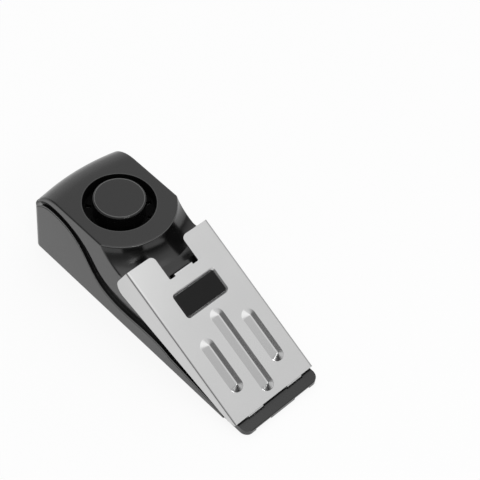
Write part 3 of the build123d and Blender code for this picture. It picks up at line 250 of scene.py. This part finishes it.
class Finish(Paint):
    """One material with a Principled shader."""

    def __init__(self, name):
        super().__init__(bpy.data.materials.new(name))
        self.shader = self.make("ShaderNodeBsdfPrincipled", {}, {})
        self.surface = Signal(self, self.shader.outputs[0])
        self.output = self.make("ShaderNodeOutputMaterial", {}, {"Surface": self.surface})

    def mix_in(self, factor, other):
        """Mixes another shader into this one: none of it at 0, and nothing else at 1."""
        mixed = self.node("ShaderNodeMixShader", {}, {0: factor, 1: self.surface, 2: other})
        self.give(self.output.inputs["Surface"], mixed)

    def relief(self, height, depth, rounding=0.0):
        """Normal of a surface with a fine relief; rounding softens the hard edges of the mesh."""
        inputs = {"Height": height, "Distance": depth, "Strength": 1.0}
        if rounding:
            edge = {"samples": bevel_samples}
            inputs["Normal"] = self.node("ShaderNodeBevel", edge, {"Radius": rounding})
        return self.node("ShaderNodeBump", {}, inputs)

    def set(self, **sockets):
        """Gives the shader's sockets their values. A socket's name has low lines for its spaces."""
        for key, value in sockets.items():
            self.give(self.shader.inputs[key.replace("_", " ")], value)
        return self.owner


print("edges are rounded with", bevel_samples, "samples")

# %% [markdown]
# The case is moulded in black ABS with a very fine satin texture. The texture is too fine to see as
# bumps, but it makes the shine soft and a little cloudy. Edges of moulded parts are never sharp, so a
# bevel normal rounds them for the light. The cap of the siren is polished, and the badge more so.

# %% Black plastics
grain_size = 0.28 * mm
grain_depth = 0.003 * mm
cloud_size = 14 * mm
darker_share = 0.9
lighter_share = 1.12
cloud_shine = 0.05
grain_shine = 0.04


def moulded_plastic(name, level, roughness, rounding, shine_level=0.5):
    """Satin black: fine grain in the relief, faint clouds in colour and shine."""
    paint = Finish(name)
    grain = paint.noise(grain_size, detail=3.0, roughness=0.6)
    cloud = paint.noise(cloud_size, detail=3.0)
    paint.tone = paint.blend(cloud, grey(level * darker_share), grey(level * lighter_share))
    shine = roughness + cloud_shine * (cloud - 0.5) + grain_shine * (grain - 0.5)
    normal = paint.relief(grain, grain_depth, rounding)
    paint.set(Base_Color=paint.tone, Roughness=shine, Normal=normal, Specular_IOR_Level=shine_level)
    return paint


case_look = {"level": 0.005, "roughness": 0.2, "rounding": 0.25 * mm, "shine_level": 0.6}
cap_look = {"level": 0.004, "roughness": 0.18, "rounding": 0.2 * mm, "shine_level": 0.55}
badge_look = {"level": 0.004, "roughness": 0.12, "rounding": 0.12 * mm, "shine_level": 0.2}
knob_look = {"level": 0.006, "roughness": 0.45, "rounding": 0.1 * mm}
switch_look = {"level": 0.01, "roughness": 0.45, "rounding": 0.1 * mm}
case_plastic = moulded_plastic("case_plastic", **case_look).owner
badge_gloss = moulded_plastic("badge_gloss", **badge_look).owner
knob_plastic = moulded_plastic("knob_plastic", **knob_look).owner
switch_plastic = moulded_plastic("switch_plastic", **switch_look).owner
black_plastics = (case_plastic, badge_gloss, knob_plastic, switch_plastic)
print("black plastics", [material.name for material in black_plastics])

# %% [markdown]
# Some details of the black case lie on circles about the axis of the siren's cap. A material finds them
# by the distance to that axis and by the height, both worked out from the place on the piece. The axis
# is read from the cap's own box.

# %% Distance to the cap's axis
cap_low, cap_high = (Vector(corner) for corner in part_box("siren_cap"))
cap_axis = ((cap_low.x + cap_high.x) / 2, 0, 0)
cap_radius = cap_high.x - cap_axis[0]
deck_height = 41.4 * mm


def about_cap(paint):
    """Distance to the cap's axis, height, and how far ahead of the axis, towards the nose."""
    place = paint.place()
    from_axis = paint.vector("SUBTRACT", place, cap_axis)
    outward = paint.vector("MULTIPLY", from_axis, (1, 1, 0))
    radius = paint.vector("LENGTH", outward, output="Value")
    return radius, paint.along(place, "Z"), paint.along(from_axis, "X")


print("cap axis at", round(cap_axis[0] / mm, 2), "mm, cap radius", round(cap_radius / mm, 2), "mm")

# %% [markdown]
# The round edges of the deck, the well and the cap catch a thin highlight, and each shows as a hair line
# that is lighter than the plastic beside it. It could be a thin ring of its own, but the real edge has
# no step, so the highlight is painted into the colour: a narrow band of the distance to the axis. The
# deck is round only ahead of the axis, and its line stops there.

# %% Painted edge highlights
hair = 0.2 * mm
cap_edge_inset = 0.85 * mm
cap_edge_drop = 0.1 * mm
cap_highlight_level = 0.14


def paint_edge_highlight(paint, edge_radius, edge_height, level, start=None):
    """Painted highlight: a lighter hair line at the edge's radius, above the edge's height and ahead of
    start.
    """
    radius, height, ahead = about_cap(paint)
    inner = paint.band(radius, edge_radius - hair, edge_radius)
    outer = paint.band(radius, edge_radius, edge_radius + hair)
    line = (inner - outer) * paint.band(height, edge_height - hair, edge_height)
    if start is not None:
        line = line * paint.band(ahead, start, start + hair)
    paint.tone = paint.blend(line, paint.tone, grey(level))
    return paint.set(Base_Color=paint.tone)


# The cap's top edge gets a painted highlight line.
cap_plastic = paint_edge_highlight(
    moulded_plastic("cap_plastic", **cap_look),
    edge_radius=cap_radius - cap_edge_inset,
    edge_height=cap_high.z - cap_edge_drop,
    level=cap_highlight_level,
)
print("cap edge", round((cap_radius - cap_edge_inset) / mm, 2), "mm from the axis")

# %% [markdown]
# The well round the siren's cap looks pitch black, while the deck beside it shines, as little light gets
# down into it. That shade is painted: the upper case mixes two finishes of the same black, satin
# outside, and a darker, rougher one with fine pits inside a cylinder about the cap's axis, below the
# deck. Hardly any light comes back out of the darker one.

# %% Case with painted shade in the well
deck_edge = 25.9 * mm
deck_edge_drop = 0.4 * mm
deck_highlight_level = 0.1
well_edge = 17.0 * mm
well_edge_drop = 0.3 * mm
well_highlight_level = 0.05
well_radius = 16.8 * mm
well_fade = 0.1 * mm
well_start = 0.5 * mm
well_full = 1.2 * mm
pit_size = 0.5 * mm
pit_depth = 0.02 * mm
well_shade_dark = 0.0015
well_shade_light = 0.003


def case_with_well(name):
    """Satin plastic with painted highlight lines on its edges. Where the distance to the cap's axis is
    less than the well's radius and the height is below the deck, a darker, rougher finish paints the
    shade."""
    paint = moulded_plastic(name, **case_look)
    # Painted highlight lines on the deck's front edge and on the well's rim.
    paint_edge_highlight(paint, deck_edge, deck_height - deck_edge_drop, deck_highlight_level, start=0.0)
    paint_edge_highlight(paint, well_edge, deck_height - well_edge_drop, well_highlight_level)
    # Painted shade: a darker, duller black stands for the shade down in the well.
    pits = paint.noise(pit_size, detail=3.0)
    painted_shade_look = {
        "Base Color": paint.blend(pits, grey(well_shade_dark), grey(well_shade_light)),
        "Roughness": 0.75 + 0.1 * pits,
        "Specular IOR Level": 0.12,
        "Normal": paint.relief(pits, pit_depth),
    }
    painted_shade = paint.node("ShaderNodeBsdfPrincipled", {}, painted_shade_look)
    radius, height = about_cap(paint)[:2]
    inside = 1 - paint.band(radius, well_radius, well_radius + well_fade)
    below = 1 - paint.band(height, deck_height - well_full, deck_height - well_start)
    paint.mix_in(inside * below, painted_shade)
    return paint.owner


upper_case_plastic = case_with_well("upper_case_plastic")
print("coarse within", round(well_radius / mm, 2), "mm of the cap's axis")

# %% [markdown]
# The plate is pressed from steel and finished in a fine even satin: bright where it mirrors the sky
# above and darker on the flanks of its ridges. It has no strong brush marks, only a faint grain along
# its length and slight unevenness where it was pressed. Its folds are rounded a little more than the
# edges of the plastic.

# %% Satin steel
steel_grain_size = 0.25 * mm
steel_cloud_size = 22 * mm
steel_relief = 0.002 * mm
steel_fold = 0.26 * mm
grain_stretch = (0.12, 1, 0.4)
steel_dark = 0.56
steel_light = 0.6


def satin_steel():
    """Fine even satin with a trace of grain along the plate."""
    paint = Finish("satin_steel")
    grain = paint.noise(steel_grain_size, detail=3.0, roughness=0.6, stretch=grain_stretch)
    cloud = paint.noise(steel_cloud_size)
    colour = paint.blend(cloud, grey(steel_dark), grey(steel_light))
    shine = 0.13 + 0.05 * grain + 0.03 * cloud
    normal = paint.relief(grain + 0.5 * cloud, steel_relief, steel_fold)
    return paint.set(Base_Color=colour, Metallic=1.0, Roughness=shine, Normal=normal)


plate_steel = satin_steel()
print("plate finish", plate_steel.name)

# %% [markdown]
# The pieces inside are seldom seen, but each has the finish of the real one: bare metal on the
# battery's snaps, the disc, the screws and the spring, and dull or coloured plastic on the rest. Two
# short recipes cover them all, one for metal and one for plastic.

# %% Recipes for small pieces
scuff_size = 0.8 * mm
moulding_size = 2.5 * mm
fine_size = 0.3 * mm
small_relief = 0.01 * mm
mottle_share = 0.85
small_shine = 0.1


def mottled(paint, pattern, colour):
    """A colour that wanders with a pattern, from a darker shade of it up to the colour itself."""
    darker = tuple(v * mottle_share for v in colour) + (1,)
    return paint.blend(pattern, darker, colour + (1,))


def plain_metal(name, colour, roughness):
    """Small metal parts: even shine with light scuffs."""
    paint = Finish(name)
    scuff = paint.noise(scuff_size, detail=4.0)
    tone = mottled(paint, scuff, colour)
    normal = paint.relief(scuff, small_relief)
    shine = roughness + small_shine * scuff
    return paint.set(Base_Color=tone, Metallic=1.0, Roughness=shine, Normal=normal)


def plain_plastic(name, colour, roughness):
    """Small coloured parts: matte moulding with faint clouds."""
    paint = Finish(name)
    cloud = paint.noise(moulding_size, detail=3.0)
    tone = mottled(paint, cloud, colour)
    normal = paint.relief(paint.noise(fine_size), small_relief)
    shine = roughness + small_shine * (cloud - 0.5)
    return paint.set(Base_Color=tone, Roughness=shine, Normal=normal)


print("scuffs", round(scuff_size / mm, 2), "mm, moulded clouds", round(moulding_size / mm, 2), "mm")

# %% [markdown]
# A table gives each inner piece its recipe, its colour and its shine. Every material could be set up by
# itself, but a table shows them side by side, and a further piece is one more line.

# %% Inner pieces
inner_finishes = {
    "piezo_holder": plain_plastic("holder_plastic", (0.03, 0.03, 0.03), 0.5),
    "piezo_disc": plain_metal("disc_brass", (0.78, 0.58, 0.26), 0.3),
    "piezo_ceramic": plain_plastic("disc_ceramic", (0.8, 0.79, 0.75), 0.4),
    "battery": plain_plastic("battery_jacket", (0.05, 0.06, 0.08), 0.35),
    "battery_terminals": plain_metal("terminal_metal", (0.75, 0.74, 0.7), 0.25),
    "battery_snap": plain_plastic("snap_vinyl", (0.025, 0.025, 0.025), 0.55),
    "circuit_board": plain_plastic("board_laminate", (0.03, 0.2, 0.07), 0.35),
    "control_chip": plain_plastic("chip_plastic", (0.02, 0.02, 0.02), 0.5),
    "step_up_coil": plain_plastic("coil_ferrite", (0.05, 0.045, 0.04), 0.5),
    "capacitor": plain_metal("can_aluminium", (0.7, 0.7, 0.72), 0.3),
    "resistors": plain_plastic("resistor_film", (0.03, 0.03, 0.035), 0.4),
    "slide_switch": switch_plastic,
    "trigger_switch": switch_plastic,
    "trigger_button": plain_plastic("button_plastic", (0.7, 0.68, 0.62), 0.45),
    "trigger_plunger": plain_plastic("plunger_plastic", (0.72, 0.71, 0.67), 0.45),
    "return_spring": plain_metal("spring_wire", (0.62, 0.62, 0.64), 0.25),
    "case_screws": plain_metal("screw_zinc", (0.6, 0.6, 0.58), 0.3),
    "battery_lead_red": plain_plastic("red_insulation", (0.5, 0.02, 0.02), 0.4),
    "battery_lead_black": plain_plastic("black_insulation", (0.02, 0.02, 0.02), 0.4),
    "siren_leads": plain_plastic("siren_insulation", (0.02, 0.02, 0.02), 0.4),
    "trigger_leads": plain_plastic("trigger_insulation", (0.5, 0.02, 0.02), 0.4),
}
print("inner pieces", len(inner_finishes))

# %% [markdown]
# The grips are soft black rubber, duller than the case. Rubber picks up dust from the floor, so its
# colour and shine wander a little. The pimples are real shape and come later, with the skins.

# %% Grip rubber
dust_size = 3 * mm
rubber_grain_size = 0.2 * mm
rubber_relief = 0.012 * mm
rubber_clean = 0.016
rubber_dusty = 0.024


def grip_rubber():
    """Matte black rubber, a little dusty in patches."""
    paint = Finish("grip_rubber")
    dust = paint.noise(dust_size, detail=4.0)
    grain = paint.noise(rubber_grain_size, detail=3.0)
    colour = paint.blend(dust, grey(rubber_clean), grey(rubber_dusty))
    normal = paint.relief(grain, rubber_relief)
    return paint.set(Base_Color=colour, Roughness=0.6 + 0.1 * dust, Normal=normal)


pad_rubber = grip_rubber()
print("grip finish", pad_rubber.name)

# %% [markdown]
# The solids came in with the frame, each as one object. Their meshes are right as they are, so each
# only loses its plain material and gets the finish of its real piece.

# %% Give each piece its finish
finishes = {
    "upper_case": upper_case_plastic,
    "lower_case": case_plastic,
    "battery_door": case_plastic,
    "siren_cap": cap_plastic,
    "badge": badge_gloss,
    "sensitivity_knob": knob_plastic,
    "pressure_plate": plate_steel,
    "rear_grip_pad": pad_rubber,
    "front_grip_pad": pad_rubber,
}
finishes.update(inner_finishes)
for name, node in nodes.items():
    node.data.materials.clear()
    node.data.materials.append(finishes[name])
print("finished nodes", len(nodes))

# %% [markdown]
# Under the plate a coil spring pushes the plunger up. It is the one piece that changes its shape when
# the plate goes down: its foot stays on the floor of the case, and its top follows the plunger. A copy
# of the solid's mesh, with its loose triangles merged, takes the place of the imported solid.

# %% Return spring
wire_merge = 0.0005 * mm


def pressed_spring(name, node, joint):
    """Copy of the coil, its loose triangles merged, in place of the solid. The joint's travel is worked
    out but not used.
    """
    coil = bmesh.new()
    coil.from_mesh(nodes[node].data)
    bmesh.ops.remove_doubles(coil, verts=coil.verts, dist=wire_merge)
    mesh = bpy.data.meshes.new(name)
    coil.to_mesh(mesh)
    coil.free()
    mesh.materials.append(finishes[node])
    piece = put_in_scene(name, mesh)
    low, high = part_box(node)
    travel = next(j["range_m"][1] for j in frame["joints"] if j["name"] == joint)
    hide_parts(node)
    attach(piece, "root")
    1 - travel / (high[2] - low[2])
    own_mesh(piece)
    return piece


return_coil = pressed_spring("return_coil", "return_spring", "plunger_slide")

# %% [markdown]
# Two rubber pads grip the floor. Their undersides are covered with rows of low pimples that run at 45
# degrees to the edges. The solids are plain slabs, so each pad gets a skin of its own here: a slab
# whose underside is a grid of points, with the pimples worked out as a product of two waves. A bump in
# the material would be less work, but the meshes are kept by themselves and would come out flat.


# %% Rims and corners of a slab
def smooth_step(value, low, high):
    """From 0 to 1 between low and high, with level ends: three times the square of the share of the
    way, less twice its cube."""
    share = np.clip((value - low) / (high - low), 0, 1)
    return share * share * (3 - 2 * share)


def rounded_corners(x, y, half_x, half_y, radius):
    """Moves the points of each corner square onto a quarter disc: a point keeps its direction from the
    square's inner corner, and its larger coordinate becomes its distance."""
    out_x = np.maximum(np.abs(x) - (half_x - radius), 0)
    out_y = np.maximum(np.abs(y) - (half_y - radius), 0)
    in_corner = (out_x > 0) & (out_y > 0)
    distance = np.where(in_corner, np.hypot(out_x, out_y), 1)
    share = np.where(in_corner, np.maximum(out_x, out_y) / distance, 1)
    new_x = np.sign(x) * (np.abs(x) - out_x * (1 - share))
    new_y = np.sign(y) * (np.abs(y) - out_y * (1 - share))
    return new_x, new_y


print("half way up a smooth step", smooth_step(0.5, 0, 1))

# %% [markdown]
# The skin is one closed mesh: the pimpled grid below, a flat face on top, and a ring of upright faces
# between their outlines. The tips of the pimples stay on the floor, where the solid's underside is, and
# a narrow flat rim runs round them.

# %% A skin with pimples
pimple_pitch = 1.65 * mm
pimple_relief = 0.3 * mm
steps_per_pitch = 8
rim_flat = 0.3 * mm
rim_full = 1.0 * mm
corner_radius = 0.6 * mm


def grip_underside(low, high):
    """Grid of points from low to high. It rises by the relief times one less the product of two waves,
    (1 + cos) / 2, along the two diagonals, and it stays flat in a narrow rim."""
    middle = (low + high) / 2
    half = (high - low) / 2
    count = np.rint(2 * half / pimple_pitch * steps_per_pitch).astype(int) + 1
    along = np.linspace(-half[0], half[0], count[0])
    across = np.linspace(-half[1], half[1], count[1])
    x, y = np.meshgrid(along, across, indexing="ij")
    pace = math.pi * 2 / pimple_pitch / math.sqrt(2)
    pimple = (1 + np.cos((x + y) * pace)) * (1 + np.cos((x - y) * pace)) / 4
    edge = np.minimum(half[0] - np.abs(x), half[1] - np.abs(y))
    z = low[2] + pimple_relief * (1 - pimple) * smooth_step(edge, rim_flat, rim_full)
    x, y = rounded_corners(x, y, half[0], half[1], corner_radius)
    return np.stack((x + middle[0], y + middle[1], z), axis=-1)


def grip_skin(name, low, high):
    """Closed slab from low to high: the grid's squares, one upright face for each step along the grid's
    outline, and one face on top."""
    grid = grip_underside(low, high)
    under = grid.reshape(-1, 3)
    index = np.arange(len(under)).reshape(grid.shape[:2])
    quads = np.stack((index[:-1, :-1], index[:-1, 1:], index[1:, 1:], index[1:, :-1]), axis=-1)
    rim = np.concatenate((index[:-1, 0], index[-1, :-1], index[:0:-1, -1], index[0, :0:-1]))
    top = under[rim] * (1, 1, 0) + (0, 0, high[2])
    upper = len(under) + np.arange(len(rim))
    sides = np.stack((rim, np.roll(rim, -1), np.roll(upper, -1), upper), axis=-1)
    faces = quads.reshape(-1, 4).tolist() + sides.tolist() + [upper.tolist()]
    mesh = bpy.data.meshes.new(name)
    mesh.from_pydata(np.concatenate((under, top)).tolist(), [], faces)
    on_underside = np.arange(len(faces)) < quads.size // 4
    mesh.polygons.foreach_set("use_smooth", on_underside)
    mesh.materials.append(pad_rubber)
    return put_in_scene(name, mesh)


print("pimples stand", round(pimple_pitch / mm, 2), "mm apart")

# %% [markdown]
# One pad is glued to the battery door and swings with it. The other sits under the nose end of the
# case. Each skin stands for its solid and rides on the same body.

# %% Pimpled grips
for name, node, body in (
    ("rear_grip_skin", "rear_grip_pad", "door"),
    ("front_grip_skin", "front_grip_pad", "root"),
):
    pad_low, pad_high = (np.array(corner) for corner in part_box(node))
    skin = grip_skin(name, pad_low, pad_high)
    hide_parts(node)
    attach(skin, body)
    print(name, "faces", len(skin.data.polygons))

# %% [markdown]
# The sensitivity switch has three places: off, low and high. Raised numbers mark them: 0 where the knob
# rests, then 1 and 2 along its way. A text curve gives the shape of each number, and it is made a mesh
# before it is stood up on the switch plate.

# %% Shape of one number
number_size = 2.9 * mm
number_thickness = 0.4 * mm


def raised_number(number, x, face_y, base_z):
    """Mesh of one number that stands on the plate and reads from the +Y side: the text's own right
    points to -X and its top to +Z."""
    curve = bpy.data.curves.new("number_" + number, "FONT")
    curve.body = number
    curve.align_x = "CENTER"
    curve.size = number_size
    curve.extrude = number_thickness / 2
    writer = bpy.data.objects.new("number_" + number, curve)
    mesh = bpy.data.meshes.new_from_object(writer)
    bpy.data.objects.remove(writer)
    stand = Matrix(((-1, 0, 0, x), (0, 0, 1, face_y), (0, 1, 0, base_z), (0, 0, 0, 1)))
    mesh.transform(stand)
    return mesh


print("numbers are", round(number_size / mm, 2), "mm high")

# %% [markdown]
# The three numbers become one mesh, a knob's step apart. The caps and sides of a text come as loose
# shells, so their doubles are merged, and after that the faces are turned outwards.

# %% Numbers at the switch
knob_step = 2 * mm
plate_y = 22.15 * mm
number_gap = 0.8 * mm
number_merge = 0.001 * mm
knob_low, knob_high = (Vector(corner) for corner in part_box("sensitivity_knob"))
knob_x = (knob_low.x + knob_high.x) / 2
gathered = bmesh.new()
for step, number in enumerate("012"):
    number_mesh = raised_number(number, knob_x - step * knob_step, plate_y, knob_high.z + number_gap)
    gathered.from_mesh(number_mesh)
    bpy.data.meshes.remove(number_mesh)
bmesh.ops.remove_doubles(gathered, verts=gathered.verts, dist=number_merge)
bmesh.ops.recalc_face_normals(gathered, faces=gathered.faces)
numbers_mesh = bpy.data.meshes.new("switch_numbers")
gathered.to_mesh(numbers_mesh)
gathered.free()
numbers_mesh.materials.append(knob_plastic)
switch_numbers = put_in_scene("switch_numbers", numbers_mesh)
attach(switch_numbers, "root")
print("switch_numbers faces", len(numbers_mesh.polygons))

# %% [markdown]
# The alarm lies on a white sweep, a floor that turns up into a low wall far away, so that no horizon
# shows in any view. It is one profile carried round the upright: flat, a quarter circle, then a wall.

# %% Floor sweep
sweep_radius = 6.0
sweep_bend = 0.3
sweep_wall = 0.45
sweep_turns = 96
bend_points = 9
ring_shares = (1 / 50, 1 / 4)


def floor_sweep(radius, bend, wall):
    """Profile carried round the upright: flat out to the bend, a quarter circle, then a wall.
    A point is the profile's distance times the cosine and sine of its turn, at the profile's height."""
    quarter = np.linspace(0, math.pi / 2, bend_points)
    flat = [share * radius for share in ring_shares]
    reach = np.concatenate((flat, radius - bend + bend * np.sin(quarter), [radius]))
    height = np.concatenate(([0] * len(flat), bend - bend * np.cos(quarter), [wall]))
    here = np.arange(sweep_turns)
    after = (here + 1) % sweep_turns
    turn = here * 2 * math.pi / sweep_turns
    x = np.outer(reach, np.cos(turn))
    y = np.outer(reach, np.sin(turn))
    z = np.outer(height, np.ones(sweep_turns))
    points = np.stack((x, y, z), axis=-1).reshape(-1, 3)
    ring = np.arange(len(reach) - 1)[:, None] * sweep_turns
    next_ring = ring + sweep_turns
    quads = np.stack((ring + here, next_ring + here, next_ring + after, ring + after), axis=-1)
    mesh = bpy.data.meshes.new("floor")
    mesh.from_pydata(points.tolist(), [], [here.tolist()] + quads.reshape(-1, 4).tolist())
    mesh.polygons.foreach_set("use_smooth", [True] * len(mesh.polygons))
    return mesh


floor = put_in_scene("floor", floor_sweep(sweep_radius, sweep_bend, sweep_wall))
print("floor faces", len(floor.data.polygons))

# %% [markdown]
# A white floor under plain light comes out pale grey. More light would bleach the alarm too, so the
# paper itself glows, but only for what the camera, the metal and glass see of it. Light Path tells the
# material which ray is asking. The rest of the paper still takes the shadow of the alarm.

# %% White paper
fibre_size = 2 * mm
paper_dark = 0.93
paper_light = 0.96
glow_share = 0.88


def floor_finish():
    """White paper. The camera and the metal see part of it as its own light, so that it stays white."""
    paint = Finish("white_paper")
    fibre = paint.noise(fibre_size)
    colour = paint.blend(fibre, grey(paper_dark), grey(paper_light))
    paint.set(Base_Color=colour, Roughness=0.9, Specular_IOR_Level=0.0)
    glow = paint.node("ShaderNodeEmission", {}, {"Color": grey(1.0)})
    seen = paint.node("ShaderNodeLightPath", {}, {}, "Is Camera Ray")
    mirrored = paint.node("ShaderNodeLightPath", {}, {}, "Is Glossy Ray")
    through = paint.node("ShaderNodeLightPath", {}, {}, "Is Transmission Ray")
    paint.mix_in(glow_share * (seen + mirrored + through), glow)
    return paint.owner


floor.data.materials.append(floor_finish())
print("share of the paper that glows", glow_share)

# %% [markdown]
# The light is one big soft sky. It is bright overhead and fades down to the horizon, with a bright
# screen behind the heel and its darkest part beyond the switch side. The steel and the glossy plastic
# mirror the bright part where they lie flat and the dark part on their flanks, and that draws their
# shapes. The level is plain: white paper on the floor comes out white, and a colour comes out about as
# it is written.

# %% Sky
dim_level = 0.04
plain_side_level = 0.22
overhead_level = 1.0
zenith_level = 0.05
upward = (0, 0.23, 1)
plain_side = (0, -1, 0)
screen_side = (-0.85, 0.53, 0)
height_band = (0.23, 0.97)
zenith_band = (0.92, 1.0)
plain_band = (-0.1, 0.6)
screen_band = (0.4, 0.95)


def make_sky():
    """Level by direction: dim near the horizon, rising by smooth steps to the plain side's level and to
    white towards the screen, and with the height to the overhead level. The height is measured a little
    towards the switch side."""
    sky = Paint(bpy.data.worlds.new("studio_sky"))
    direction = sky.node("ShaderNodeTexCoord", {}, {}, "Generated")

    def towards(target):
        return sky.vector("DOT_PRODUCT", direction, target, "Value")

    height = towards(upward)
    plain = plain_side_level * sky.band(towards(plain_side), *plain_band)
    screen = sky.band(towards(screen_side), *screen_band)
    low = dim_level + plain * (1 - screen) + (1 - dim_level) * screen
    level = low + (overhead_level - low) * sky.band(height, *height_band)
    level = level + zenith_level * sky.band(height, *zenith_band)
    light = sky.node("ShaderNodeBackground", {}, {"Color": grey(1.0), "Strength": level})
    sky.make("ShaderNodeOutputWorld", {}, {"Surface": light})
    return sky.owner


bpy.context.scene.world = make_sky()
print("sky", bpy.context.scene.world.name)

# %% [markdown]
# Two square lamps add what the sky can't. The wide one overhead gives the alarm its soft shadow on the
# floor and lifts the ends of the ridges. The small one past the nose draws a highlight down the round
# wall in front of the siren. Standard view keeps the colours as they are worked out.


# %% Softboxes
def softbox(name, direction, distance, width, power):
    """Square lamp that looks at the middle of the alarm."""
    data = bpy.data.lights.new(name, "AREA")
    data.size = width
    data.energy = power
    lamp = put_in_scene(name, data)
    away = Vector(direction).normalized()
    lamp.location = away * distance
    lamp.rotation_mode = "QUATERNION"
    lamp.rotation_quaternion = away.to_track_quat("Z", "Y")
    return lamp


lamps = (
    softbox("overhead_softbox", direction=(0, 0, 1), distance=1.3, width=1.2, power=2),
    softbox("front_softbox", direction=(0.75, -0.15, 0.62), distance=1.3, width=0.3, power=2),
)
bpy.context.scene.view_settings.view_transform = "Standard"
print("lamps", [lamp.name for lamp in lamps])
